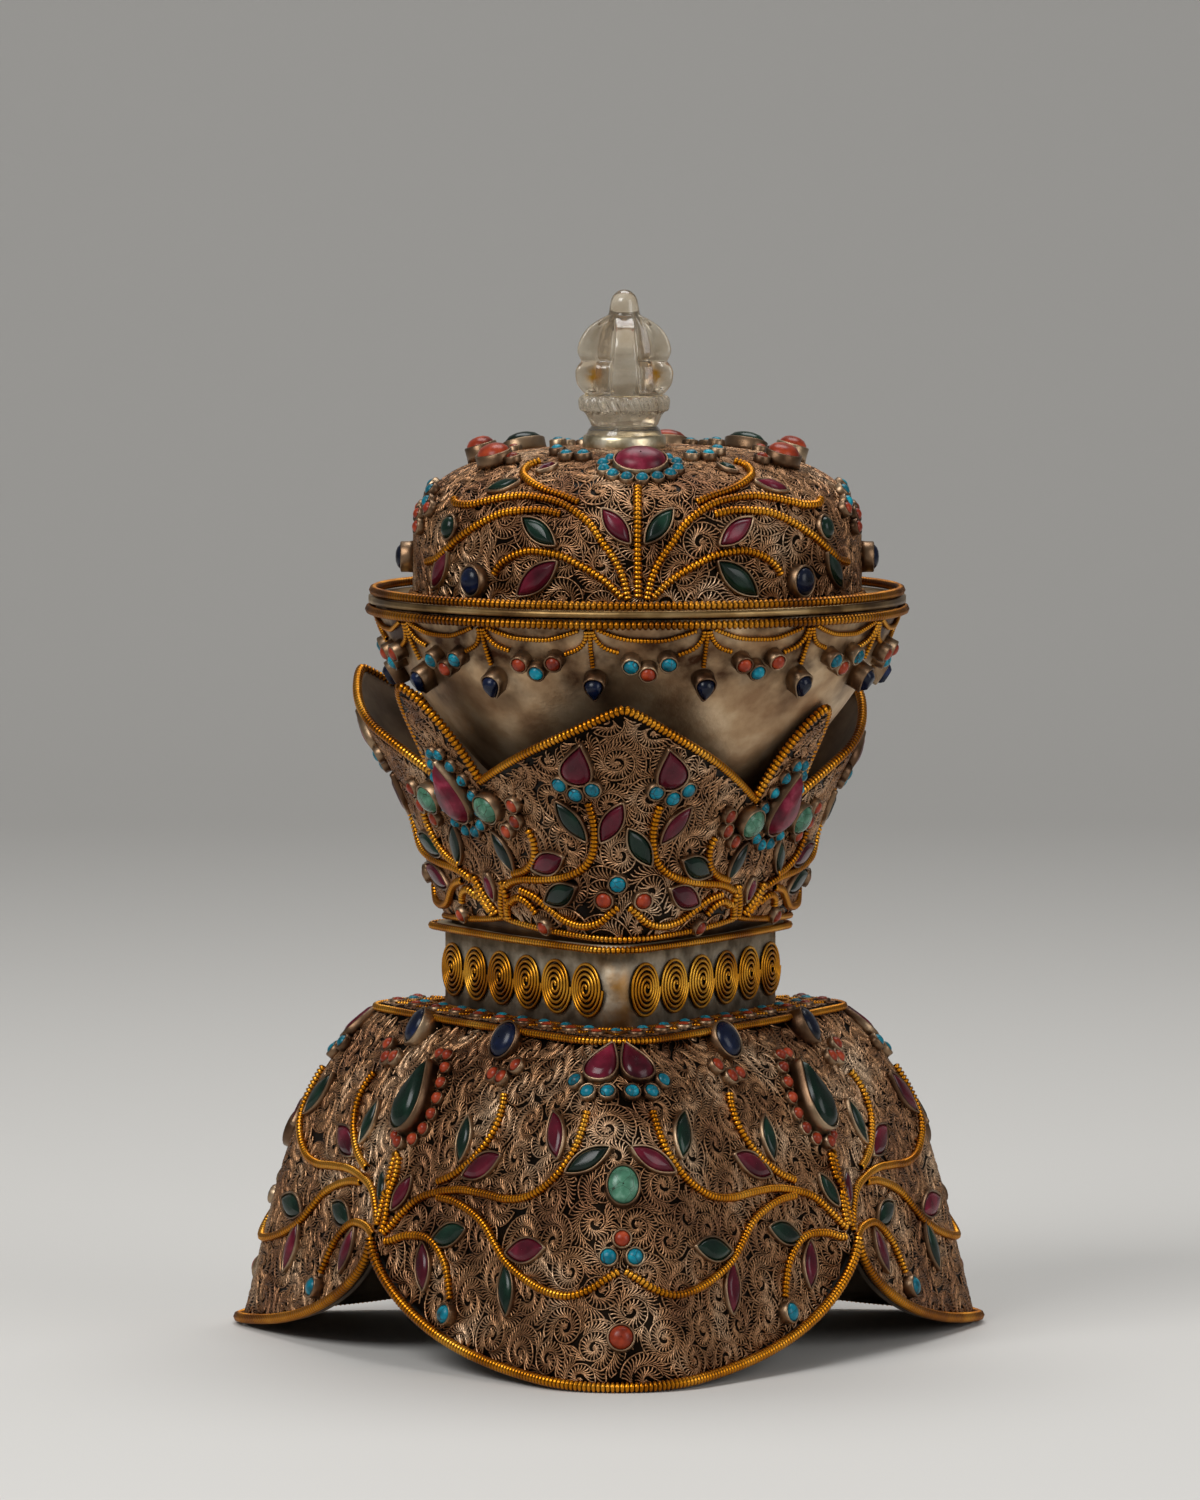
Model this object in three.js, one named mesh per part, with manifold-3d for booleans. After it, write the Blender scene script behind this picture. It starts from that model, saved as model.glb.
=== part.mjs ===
// Kapala: a covered ritual bowl on a three-cornered stand, in silver filigree set with stones.
// Millimetres, +Z up. The origin is on the table, under the middle of the whole piece, and the
// corner at the front points along -Y. Azimuths are counted from there, towards +X.
import * as THREE from 'three';
import { LoftGeometry } from 'three/addons/geometries/LoftGeometry.js';
import { mergeVertices } from 'three/addons/utils/BufferGeometryUtils.js';
import Module from 'manifold-3d';

const wasm = await Module();
wasm.setup();

// Sheet, wires and the clearance between pieces that touch
const standSheet = 1.6;
const bowlSheet = 1.6;
const lidSheet = 1.4;
const plateThickness = 1.6;
const rimWireRadius = 1.2;
const edgeWireRadius = 1.0;
const clearance = 0.3;

// Three-cornered sections: reach of a corner, its round, and the bulge of a side
const hem = { reach: 101.7, round: 23.0, bulge: 5.0 };
const shelf = { reach: 63.9, round: 11.2, bulge: 1.6 };
const collar = { reach: 46.6, round: 4.6, bulge: 2.0 };
const plateOverhang = 2.0;
const neck = { reach: 44.2, round: 8.4, bulge: 3.4 };
const holderRoot = { reach: 46.8, round: 9.8, bulge: 3.7 };
const holderMouth = { reach: 71.6, round: 44.3, bulge: 2.4 };

// Skirt: height of the shelf, rise of the hem between its lobes, and the swell of the shoulder
const shelfHeight = 81.5;
const cuspRise = 28.3;
const lobeFlatness = 1.7;
const lobeFullness = 0.6;
const skirtSlope = 0.55;
const shoulderSharpness = 5;
const footFlat = 0.25;

// Collar and its wire coils
const collarHeight = 17.4;
const coilDiameter = 12.8;
const coilSpacing = 0.5;
const coilTurns = 3;
const coilDepth = 2.4;
const coilStrandGap = 0.25;

// Holder: its neck, its petals, and the seat of the bowl inside it
const neckHeight = 6.6;
const holderHeight = 52.6;
const valleyDrop = 20.5;
const narrowPetal = THREE.MathUtils.degToRad(15.5);
const narrowRoundness = 1.7;
const wideTipSoftness = 0.15;
const edgeLean = 3.2;
const holderFlare = 1.6;
const rootSwell = 0.12;
const rootSwellSharpness = 12;
const holderShift = 1.7;
const seatHeight = 14.9;
const seatBore = 8.0;
const seatReach = 22.0;
const seatTopReach = 15.5;

// Bowl, hung in the holder a little to the right of the stand's axis
const bowlShift = 6.2;
const bowlReach = 64.3;
const bowlHeight = 66.0;
const bowlFullness = 1.35;
const bowlFootReach = 14.0;
const dropCount = 14;
const fringeDepth = 4.6;
const strandLength = 7.0;
const dropLength = 5.2;
const dropRadius = 2.3;
const dropPhase = 0.607;

// Lid: flange, locating lip and dome
const flangeReach = 66.0;
const lipHeight = 4.5;
const domeReach = 54.8;
const domeWallHeight = 10.0;
const domeHeight = 26.4;
const domeFullness = 3;

// Finial: its silver socket, and the crystal with its prongs
const finialShift = -3.2;
const socketReach = 9.7;
const socketHeight = 3.0;
const socketRebate = 1.2;
const tangRadius = 2.4;
const tangRunningGap = 0.3;
const nutThickness = 2.2;
const nutReach = 5.6;
const crystalFootReach = 8.6;
const crystalWaistReach = 8.3;
const crystalCupReach = 10.9;
const crystalCupHeight = 12.2;
const prongReach = 11.8;
const prongHeight = 18.6;
const prongWidth = 6.8;
const knobReach = 3.4;
const knobHeight = 7.0;
const knobSinkDepth = 2.0;
const footFlareWidth = 1.4;
const footRimHeight = 0.6;
const footWaistHeight = 3.8;
const cupTaperWidth = 0.9;
const crystalCupDepth = 4.4;
const crystalBandDepth = 2.0;
const lipTaperWidth = 0.4;
const knobFootHeight = 0.5;
const knobShoulderDepth = 2.0;
const knobCrownDepth = 0.4;
const prongBevelWidth = 1.2;
// Prong outline, as shares of its reach across and of its height up
const prongWaistShares = { across: 0.92, up: 0.4 };
const prongHipShares = { across: 0.88, belly: 1.06, bellyUp: 0.24 };
const prongShoulderShares = { across: 0.7, up: 0.92, sideUp: 0.62, neck: 1.15 };

// Settings: outline size of a stone, its rise, and the bezel round it
const bezelWall = 0.9;
const bezelHeight = 3.0;
const stoneRise = 2.2;
const skirtStone = { width: 12.0, height: 19.0, depth: 0.30, lift: -0.35 };
const holderStone = { width: 11.0, height: 17.0, drop: 14.0, lift: 0.5 };
const lidStone = { width: 11.0, height: 9.0, reach: 38.0, lift: 0.2 };
const lidStoneTurns = [0, 135, -135];

// Relief raised on the skirt and the dome: vines as ribs, larger stones as bosses, and a halo of
// small stones round each big one. A boss lies at degrees from a middle and at a level of its surface
const vine = { width: 2.0, top: 1.3, rise: 1.7, depth: 0.8 };
const halo = { gap: 1.8, width: 3.4, rise: 2.0, depth: 2.4 };
const coilSideSpare = 1.2;
const seatStep = 0.4;
const bowlFootInside = 0.8;
const bowlFootFlat = 0.9;
const strandSlimness = 0.7;
const dropNeck = 0.4;
const dropTip = 0.4;
const boreSides = 12;
const nutGrip = 0.99;
const cabochonShares = { share: 0.72, up: 0.75 };
const cabochonCrownShare = 0.3;
const slopeStep = 0.01;
const knobShares = { foot: 1.2, neck: 1.1, shoulder: 0.85, crown: 0.45 };
const bossDepth = 1.2;
const bossTaper = 0.8;
const skirtBosses = [
  { turn: 0, level: 0.40, width: 8.4, height: 10.2, rise: 3.6 },
  { turn: 0, level: 0.63, width: 9.6, height: 8.4, rise: 2.4 },
  { turn: 0, level: 0.85, width: 7.0, height: 7.0, rise: 3.4 },
  { turn: 35, level: 0.91, width: 5.6, height: 5.6, rise: 3.2 },
  { turn: -35, level: 0.91, width: 5.6, height: 5.6, rise: 3.2 },
];
const lidBosses = [
  { turn: 45, level: 6.6, width: 7.2, height: 7.8, rise: 3.8 },
  { turn: -45, level: 6.6, width: 7.2, height: 7.8, rise: 3.8 },
];

// Courses of the vines of one half, as degrees from the middle and level: a share down the skirt
const skirtVines = [
  [[59, 0.89], [54, 0.72], [47, 0.59], [37, 0.515], [27, 0.49], [19, 0.475], [13, 0.42], [9.5, 0.36],
    [7, 0.28], [5.6, 0.20]],
  [[43.5, 0.525], [38, 0.47], [32, 0.38], [28, 0.29], [27, 0.21]],
  [[43, 0.57], [35, 0.555], [28, 0.575], [22, 0.65], [15.5, 0.71], [9, 0.735], [4, 0.70], [0, 0.65]],
  [[58, 0.905], [50, 0.765], [42, 0.725], [36.5, 0.775], [34, 0.86]],
];
const cuspVine = [[60, 0.58], [60, 0.91]];

// Courses on the dome, with the level as the way up the wall from the flange in millimetres
const lidVines = [
  [[2.4, 2.4], [6, 12.5], [12, 21], [21, 26.5], [34, 28.3], [46, 26], [58, 25.5]],
  [[4, 3], [11, 9], [19, 13.2], [28, 14.1], [35, 11.8], [39, 7.8]],
  [[20, 23.4], [31, 24.2], [41.5, 21.8], [51.5, 16.6], [62, 10.8], [68, 9.7]],
  [[16, 26.7], [27, 30.5], [34, 32.5]],
];

// Facets
const stationsPerLobe = 16;
const stationCrowding = 0.4;
const wireSides = 5;
const hemWireSides = 6;
const turnedSides = 36;
const smallTurnedSides = 18;
const stoneSides = 14;
const coilStepsPerTurn = 8;
const bossSides = 8;
const stepsPerKnot = 1;
const domeWaySteps = 40;

const UP = new THREE.Vector3(0, 0, 1);
const THIRD = 2 * Math.PI / 3;
const CORNERS = [0, THIRD, 2 * THIRD];
const CORNER_NAMES = ['front', 'right', 'left'];
const SIDES = CORNERS.map((corner) => corner + THIRD / 2);
const SIDE_NAMES = ['right', 'back', 'left'];

// Heights that follow from the sizes above
const plateTop = shelfHeight + clearance + collarHeight + clearance + plateThickness;
const neckTop = plateTop + clearance + neckHeight;
const holderBase = neckTop + clearance;
const seatTop = plateTop + clearance + seatHeight;
const bowlBase = seatTop + clearance;
const bowlTop = bowlBase + bowlHeight;
const flangeBase = bowlTop + clearance + rimWireRadius * 0.2;

// Finishes
const finish = (color, roughness, metalness) => ({ color, roughness, metalness });
const filigree = finish(0x8a7565, 0.5, 0.8);
const silver = finish(0x8f8470, 0.35, 0.95);
const gilt = finish(0xb8801f, 0.35, 0.95);
const ruby = finish(0x6b1f35, 0.25, 0.0);
const green = finish(0x1d4a38, 0.25, 0.0);
const lapis = finish(0x1c2a55, 0.3, 0.0);
const crystal = finish(0xd8dcd8, 0.08, 0.0);

// The skin with its shared points merged, no empty faces, and every face pointing out
function closed(geometry) {
  const bare = new THREE.BufferGeometry();
  bare.setAttribute('position', geometry.attributes.position);
  bare.setIndex(geometry.index);
  const skin = mergeVertices(bare, 1e-4);
  const place = skin.attributes.position;
  const corners = [0, 1, 2].map(() => new THREE.Vector3());
  const kept = [];
  let volume = 0;
  for (let i = 0; i < skin.index.count; i += 3) {
    const face = [0, 1, 2].map((k) => skin.index.getX(i + k));
    if (new Set(face).size < 3) continue;
    face.forEach((vertex, k) => corners[k].fromBufferAttribute(place, vertex));
    volume += corners[0].dot(corners[1].clone().cross(corners[2]));
    kept.push(face);
  }
  skin.setIndex(kept.flatMap((face) => (volume < 0 ? [face[0], face[2], face[1]] : face)));
  return skin;
}

function toSolid(geometry) {
  const skin = closed(geometry);
  const vertProperties = new Float32Array(skin.attributes.position.array);
  const triVerts = new Uint32Array(skin.index.array);
  return new wasm.Manifold(new wasm.Mesh({ numProp: 3, vertProperties, triVerts }));
}

function toGeometry(solid) {
  const mesh = solid.getMesh();
  const geometry = new THREE.BufferGeometry();
  geometry.setAttribute('position', new THREE.BufferAttribute(mesh.vertProperties, 3));
  geometry.setIndex(new THREE.BufferAttribute(mesh.triVerts, 1));
  return geometry;
}

function joined(geometries) {
  return toGeometry(geometries.map(toSolid).reduce((whole, piece) => whole.add(piece)));
}

function piece(name, geometry, look) {
  const mesh = new THREE.Mesh(closed(geometry), new THREE.MeshStandardMaterial(look));
  mesh.name = name;
  return mesh;
}

function at(x, y, z, ...meshes) {
  const group = new THREE.Group();
  group.position.set(x, y, z);
  group.add(...meshes);
  return group;
}

// Distance from the axis to a three-cornered section: round corners joined by bulging sides
function sectionRadius(azimuth, { reach, round, bulge }) {
  const turn = Math.abs(THREE.MathUtils.euclideanModulo(azimuth + THIRD / 2, THIRD) - THIRD / 2);
  const arm = reach - round;
  const side = arm / 2 + round + bulge;
  const sideArc = (side * side + arm * arm - arm * side - round * round) / (2 * bulge);
  const back = sideArc - side;
  const acrossX = arm + back / 2;
  const acrossY = back * Math.sqrt(3) / 2;
  const reachTo = round / Math.hypot(acrossX, acrossY);
  const joint = Math.atan2(acrossY * reachTo, arm + acrossX * reachTo);
  if (turn < joint) {
    return arm * Math.cos(turn) + Math.sqrt(round ** 2 - (arm * Math.sin(turn)) ** 2);
  }
  const fromSide = THIRD / 2 - turn;
  return Math.sqrt(sideArc ** 2 - (back * Math.sin(fromSide)) ** 2) - back * Math.cos(fromSide);
}

const inset = ({ reach, round, bulge }, by) => ({ reach: reach - by, round: round - by, bulge });
const blend = (a, b, share) => ({
  reach: THREE.MathUtils.lerp(a.reach, b.reach, share),
  round: THREE.MathUtils.lerp(a.round, b.round, share),
  bulge: THREE.MathUtils.lerp(a.bulge, b.bulge, share),
});

function polar(azimuth, radius, z) {
  return new THREE.Vector3(radius * Math.sin(azimuth), -radius * Math.cos(azimuth), z);
}

function onSection(azimuth, section, z) {
  return polar(azimuth, sectionRadius(azimuth, section), z);
}

// Azimuths round the stand, closer together at the corners and at the middles of the sides
const stationCount = 3 * stationsPerLobe;
function station(index) {
  const even = 2 * Math.PI * index / stationCount;
  return even - stationCrowding * Math.sin(6 * even) / 6;
}
const stations = Array.from({ length: stationCount }, (_, index) => station(index));

const loop = (sections) => new LoftGeometry([...sections, sections[0]]);

// A capped loft; its sections have to wind right-handed about the way from one to the next
function stretch(sections) {
  const middle = (points) => points.reduce((sum, p) => sum.add(p), new THREE.Vector3())
    .divideScalar(points.length);
  const centre = middle(sections[0]);
  const ahead = middle(sections[1]).sub(centre);
  const turn = sections[0].reduce((sum, p, i, all) => sum.add(p.clone().sub(centre)
    .cross(all[(i + 1) % all.length].clone().sub(centre))), new THREE.Vector3());
  const wound = turn.dot(ahead) < 0 ? sections.map((points) => points.toReversed()) : sections;
  return new LoftGeometry(wound, { capStart: true, capEnd: true });
}

// Round sections of a wire along a list of points; each lies square to the points beside it
function wireSections(points, radius, endless, sides = wireSides) {
  const last = points.length - 1;
  return points.map((point, i) => {
    const before = points[i > 0 ? i - 1 : (endless ? last : 0)];
    const after = points[i < last ? i + 1 : (endless ? 0 : last)];
    const along = after.clone().sub(before).normalize();
    const out = new THREE.Vector3().crossVectors(along, UP).normalize();
    const over = new THREE.Vector3().crossVectors(out, along);
    return Array.from({ length: sides }, (_, k) => {
      const angle = 2 * Math.PI * k / sides;
      return point.clone().addScaledVector(out, radius * Math.cos(angle))
        .addScaledVector(over, radius * Math.sin(angle));
    });
  });
}

const ringWire = (points, radius) => loop(wireSections(points, radius, true));

// A flat plate with a three-cornered outline
function plate(section, bottom, top) {
  return stretch([bottom, top].map((z) => stations.map((azimuth) => onSection(azimuth, section, z))));
}

// An upright wall with a three-cornered outline
function band(section, thickness, bottom, top) {
  const inner = inset(section, thickness);
  return loop(stations.map((azimuth) => [
    onSection(azimuth, section, top), onSection(azimuth, section, bottom),
    onSection(azimuth, inner, bottom), onSection(azimuth, inner, top),
  ]));
}

function edgeWire(section, z) {
  const route = inset(section, -clearance - edgeWireRadius);
  return ringWire(stations.map((azimuth) => onSection(azimuth, route, z)), edgeWireRadius);
}

// Rise of the hem over the table: nothing at a corner, steep up to a cusp at a side's middle
function hemRise(azimuth) {
  const turn = Math.abs(THREE.MathUtils.euclideanModulo(azimuth + THIRD / 2, THIRD) - THIRD / 2);
  const share = Math.min(turn / (THIRD / 2), 1);
  return cuspRise * (1 - (1 - share ** lobeFlatness) ** lobeFullness);
}

// A point of the skirt: share 0 is under the shelf, share 1 is the hem
const skirtTop = shelfHeight - plateThickness - clearance;
const hemLift = rimWireRadius / 2;
function skirtPoint(azimuth, share, by = 0) {
  const spread = skirtSlope * share + (1 - skirtSlope) * (1 - (1 - share) ** shoulderSharpness);
  const section = inset(blend(shelf, hem, spread), by);
  return onSection(azimuth, section, THREE.MathUtils.lerp(skirtTop, hemRise(azimuth) + hemLift, share));
}

// A wall as one loop of its cross-section at each azimuth: down the outside and up the inside
function wallSection(pointAt, thickness, shares) {
  return [
    ...shares.map((share) => pointAt(share, 0)),
    ...shares.toReversed().map((share) => pointAt(share, thickness)),
  ];
}

const skirtShares = [0, 0.08, 0.2, 0.38, 0.65, 1];
function skirtShell() {
  return loop(stations.map((azimuth) => wallSection(
    (share, by) => skirtPoint(azimuth, share, by), standSheet, skirtShares)));
}

// The frame of a surface at a spot: +Z out of it and +Y up it
function surfaceFrame(surface, azimuth, level) {
  const step = slopeStep;
  const across = surface(azimuth + step, level).sub(surface(azimuth - step, level));
  const upward = surface(azimuth, level - step).sub(surface(azimuth, level + step));
  if (upward.z < 0) upward.negate();
  const outward = new THREE.Vector3().crossVectors(across, upward);
  return frameAt(surface(azimuth, level), outward, upward);
}

// A vine as a rib with a flat top, its foot sunk in the surface; hand -1 mirrors its course
function rib(surface, knots, middle, hand) {
  const course = new THREE.CatmullRomCurve3(knots.map(([degrees, level]) =>
    new THREE.Vector3(middle + hand * THREE.MathUtils.degToRad(degrees), level, 0)));
  const frames = course.getPoints(Math.round(stepsPerKnot * knots.length))
    .map(({ x, y }) => surfaceFrame(surface, x, y));
  const spots = frames.map((frame) => new THREE.Vector3().setFromMatrixPosition(frame));
  const profile = [[-vine.width, -vine.depth], [vine.width, -vine.depth], [vine.top, vine.rise],
    [-vine.top, vine.rise]];
  return stretch(frames.map((frame, i) => {
    const along = spots[Math.min(i + 1, spots.length - 1)].clone().sub(spots[Math.max(i - 1, 0)]);
    const out = new THREE.Vector3().setFromMatrixColumn(frame, 2);
    const side = new THREE.Vector3().crossVectors(along, out).normalize();
    return profile.map(([across, up]) => spots[i].clone().addScaledVector(side, across / 2)
      .addScaledVector(out, up));
  }));
}

// A stone as a plain boss on a surface
function boss(surface, middle, { turn, level, width, height, rise }) {
  const frame = surfaceFrame(surface, middle + THREE.MathUtils.degToRad(turn), level);
  return stretch([[-bossDepth, 1], [rise, bossTaper]].map(([z, share]) =>
    Array.from({ length: bossSides }, (_, k) => {
      const angle = 2 * Math.PI * (k + 0.5) / bossSides;
      return new THREE.Vector3(share * width / 2 * Math.cos(angle), share * height / 2 * Math.sin(angle), z)
        .applyMatrix4(frame);
    })));
}

// The ring of small stones round a big one, as one raised band
function haloRing(surface, azimuth, level, outline, { width, height }) {
  const frame = surfaceFrame(surface, azimuth, level);
  const inner = outline(width, height, halo.gap);
  const outer = outline(width, height, halo.gap + halo.width);
  return loop(inner.map((p, i) => [[p, halo.rise], [outer[i], halo.rise], [outer[i], -halo.depth],
    [p, -halo.depth]].map(([q, z]) => new THREE.Vector3(q.x, q.y, z).applyMatrix4(frame))));
}

// A skirt with its relief, as one solid
function ornateSkirt() {
  const ribs = CORNERS.flatMap((corner) => [-1, 1].flatMap((hand) =>
    skirtVines.map((knots) => rib(skirtPoint, knots, corner, hand))));
  const cuspRibs = CORNERS.map((corner) => rib(skirtPoint, cuspVine, corner, 1));
  const bosses = CORNERS.flatMap((corner) => skirtBosses.map((stone) => boss(skirtPoint, corner, stone)));
  const halos = SIDES.map((side) => haloRing(skirtPoint, side, skirtStone.depth, teardrop, skirtStone));
  return joined([skirtShell(), ...ribs, ...cuspRibs, ...bosses, ...halos]);
}

// The hem wire of one lobe, from cusp to cusp, filed flat where it stands on the table
function hemWire(corner) {
  const route = inset(hem, -clearance - rimWireRadius);
  const half = THIRD / 2;
  const endTurn = half - (rimWireRadius + clearance) / sectionRadius(half, route);
  const points = Array.from({ length: stationsPerLobe + 1 }, (_, i) => {
    const turn = THREE.MathUtils.clamp(station(i - stationsPerLobe / 2), -endTurn, endTurn);
    const z = rimWireRadius - footFlat + hemRise(turn);
    return onSection(corner + turn, route, z);
  });
  const floor = new THREE.BoxGeometry(4 * hem.reach, 4 * hem.reach, shelfHeight);
  floor.translate(0, 0, -shelfHeight / 2);
  const wire = stretch(wireSections(points, rimWireRadius, false, hemWireSides));
  return toGeometry(toSolid(wire).subtract(toSolid(floor)));
}

// A spot on the flat middle part of a collar side, with +Z square to the side and +Y up
function onCollarSide(side, along, height) {
  const arm = collar.reach - collar.round;
  const middle = arm / 2 + collar.round + collar.bulge;
  const sideArc = (middle ** 2 + arm ** 2 - arm * middle - collar.round ** 2) / (2 * collar.bulge);
  const swing = Math.asin(along / sideArc);
  const facing = side + swing;
  const centre = polar(side, middle - sideArc, height);
  const spot = centre.add(polar(facing, sideArc, 0));
  return frameAt(spot, polar(facing, 1, 0), UP);
}

// A frame at a point: +Z along the outward direction, +Y as near to up as it can be
function frameAt(point, outward, up) {
  const z = outward.clone().normalize();
  const x = new THREE.Vector3().crossVectors(up, z).normalize();
  const y = new THREE.Vector3().crossVectors(z, x);
  return new THREE.Matrix4().makeBasis(x, y, z).setPosition(point);
}

// A flat spiral of wire with its outer face drawn to a ridge
function coil() {
  const pitch = coilDiameter / 2 / (coilTurns + 0.5);
  const half = (pitch - coilStrandGap) / 2;
  const steps = Math.round(coilTurns * coilStepsPerTurn);
  const sections = Array.from({ length: steps + 1 }, (_, i) => {
    const turn = 2 * Math.PI * coilTurns * i / steps;
    const radius = pitch * (0.5 + turn / (2 * Math.PI)) - half * 0.5 + coilStrandGap / 2;
    const spot = (r, z) => new THREE.Vector3(r * Math.cos(turn), r * Math.sin(turn), z);
    return [spot(radius - half, 0), spot(radius + half, 0), spot(radius, coilDepth)];
  });
  return stretch(sections);
}

function coilScrolls() {
  const arm = collar.reach - collar.round;
  const sideRun = 2 * (arm * Math.sin(THIRD / 2) + collar.round * coilSideSpare);
  const count = Math.floor(sideRun / (coilDiameter + coilSpacing));
  const pitch = coilDiameter + coilSpacing;
  const shape = coil();
  return SIDES.flatMap((side, s) => Array.from({ length: count }, (_, i) => {
    const along = (i - (count - 1) / 2) * pitch;
    const mesh = piece(`coil_scroll_${SIDE_NAMES[s]}_${i + 1}`, shape, gilt);
    const height = shelfHeight + clearance + collarHeight / 2;
    mesh.applyMatrix4(onCollarSide(side, along, height));
    mesh.translateZ(clearance);
    return mesh;
  }));
}

// The holder's top edge: wide petals at the corners, narrow ones at the middles of the sides
const widePetal = THIRD / 2 - narrowPetal;
function petalEdge(azimuth) {
  const turn = Math.abs(THREE.MathUtils.euclideanModulo(azimuth + THIRD / 2, THIRD) - THIRD / 2);
  const soft = (t) => (Math.hypot(t, wideTipSoftness) - wideTipSoftness)
    / (Math.hypot(1, wideTipSoftness) - wideTipSoftness);
  const drop = turn < widePetal ? soft(turn / widePetal)
    : ((THIRD / 2 - turn) / narrowPetal) ** narrowRoundness;
  return holderHeight - valleyDrop * drop - edgeLean * Math.sin(azimuth);
}

// A point of the holder at a height over its root
function holderPoint(azimuth, height, by = 0) {
  const share = height / holderHeight;
  const swell = rootSwell * (1 - (1 - Math.min(share, 1)) ** rootSwellSharpness);
  const spread = (1 - rootSwell) * share ** holderFlare + swell;
  return onSection(azimuth, inset(blend(holderRoot, holderMouth, spread), by), height);
}

// Azimuths of the holder, with one exactly at each tip and each valley
const petalSteps = [[0, widePetal, 5], [widePetal, THIRD / 2, 3],
  [THIRD / 2, THIRD / 2 + narrowPetal, 3], [THIRD / 2 + narrowPetal, THIRD, 5]];
const petalStations = CORNERS.flatMap((corner) => petalSteps.flatMap(([from, to, steps]) =>
  Array.from({ length: steps }, (_, i) => corner + THREE.MathUtils.lerp(from, to, i / steps))));

const holderShares = [1, 0.78, 0.5, 0.25, 0.08, 0];
function holderShell() {
  return loop(petalStations.map((azimuth) => wallSection(
    (share, by) => holderPoint(azimuth, share * petalEdge(azimuth), by), standSheet, holderShares)));
}

function petalWire() {
  const out = -clearance - edgeWireRadius;
  return ringWire(petalStations.map((azimuth) =>
    holderPoint(azimuth, petalEdge(azimuth) - edgeWireRadius / 2, out)), edgeWireRadius);
}

const turned = (profile, sides = turnedSides) =>
  new LatheOnZ(profile.map(([r, z]) => new THREE.Vector2(r, z)), sides);

// A turned piece whose axis is +Z
class LatheOnZ extends THREE.LatheGeometry {
  constructor(profile, sides) {
    super(profile, sides);
    this.rotateX(Math.PI / 2);
  }
}

const torus = (reach, radius, z) => {
  const geometry = new THREE.TorusGeometry(reach, radius, wireSides, turnedSides);
  geometry.translate(0, 0, z);
  return geometry;
};

function bowlSeat() {
  return turned([[seatBore, 0], [seatReach, 0], [seatReach, seatHeight * seatStep],
    [seatTopReach, seatHeight], [seatBore, seatHeight], [seatBore, 0]]);
}

// The bowl's wall at a depth angle: 0 is the mouth and a right angle is the bottom
function bowlSpot(angle, reach, height) {
  const power = 2 / bowlFullness;
  return [reach * Math.cos(angle) ** power, bowlHeight - height * Math.sin(angle) ** power];
}

// Radius of the same wall at a depth under its mouth
function bowlRadius(depth, reach, height) {
  return reach * (1 - (depth / height) ** bowlFullness) ** (1 / bowlFullness);
}
const innerReach = bowlReach - bowlSheet;
const innerHeight = bowlHeight - bowlSheet * 2;

function bowlShell() {
  const footAngle = Math.acos((bowlFootReach / bowlReach) ** (bowlFullness / 2));
  const innerEnd = Math.acos((bowlFootReach * bowlFootInside / innerReach) ** (bowlFullness / 2));
  const steps = 6;
  const climb = (end, reach, height) => Array.from({ length: steps + 1 },
    (_, i) => bowlSpot(end * i / steps, reach, height));
  const outer = climb(footAngle, bowlReach, bowlHeight);
  const inner = climb(innerEnd, innerReach, innerHeight);
  const profile = [[0, 0], [bowlFootReach * bowlFootFlat, 0], ...outer.toReversed(), ...inner,
    [0, inner.at(-1)[1]]];
  return turned(profile);
}

// The fringe under the bowl's rim: one wire round it, with a drop on a strand at each step
function bowlFringe() {
  const tipDepth = fringeDepth + strandLength + dropLength;
  const ringHeight = bowlHeight - fringeDepth;
  const ringReach = bowlRadius(fringeDepth, bowlReach, bowlHeight) + clearance * 2 + edgeWireRadius;
  const tipHeight = bowlHeight - tipDepth;
  const tipReach = bowlRadius(tipDepth, bowlReach, bowlHeight) + dropRadius + clearance * 2;
  const run = Math.hypot(ringReach - tipReach, ringHeight - tipHeight);
  const lean = Math.atan2(ringReach - tipReach, ringHeight - tipHeight);
  const strand = edgeWireRadius * strandSlimness;
  const profile = [[0, 0], [strand, 0], [strand, strandLength],
    [dropRadius, strandLength + dropLength * dropNeck], [edgeWireRadius * dropTip, run], [0, run]];
  const ring = torus(ringReach, edgeWireRadius, ringHeight);
  const drops = Array.from({ length: dropCount }, (_, i) => {
    const azimuth = 2 * Math.PI * (i + dropPhase) / dropCount;
    const drop = turned(profile, wireSides);
    drop.rotateX(Math.PI);
    drop.rotateX(-lean);
    drop.translate(0, -ringReach, ringHeight);
    drop.rotateZ(azimuth);
    return drop;
  });
  return joined([ring, ...drops]);
}

// The dome of the lid at a height angle: 0 is the top of the upright wall, a right angle the crown
function domeSpot(angle, by = 0) {
  const power = 2 / domeFullness;
  const base = lidSheet + domeWallHeight;
  return [(domeReach - by) * Math.cos(angle) ** power, base + (domeHeight - by) * Math.sin(angle) ** power];
}
const crownHeight = lidSheet + domeWallHeight + domeHeight;

// A point of the dome's outside at an azimuth and a way up its wall from the flange
const domeWay = [new THREE.Vector2(domeReach, lidSheet), ...Array.from({ length: domeWaySteps },
  (_, i) => new THREE.Vector2(...domeSpot(Math.PI / 2 * i / domeWaySteps)))];
function domePoint(azimuth, way) {
  let left = way;
  let index = 0;
  while (index < domeWay.length - 2 && left > domeWay[index].distanceTo(domeWay[index + 1])) {
    left -= domeWay[index].distanceTo(domeWay[index + 1]);
    index += 1;
  }
  const run = left / domeWay[index].distanceTo(domeWay[index + 1]);
  const spot = domeWay[index].clone().lerp(domeWay[index + 1], run);
  return polar(azimuth, spot.x, spot.y);
}

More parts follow.
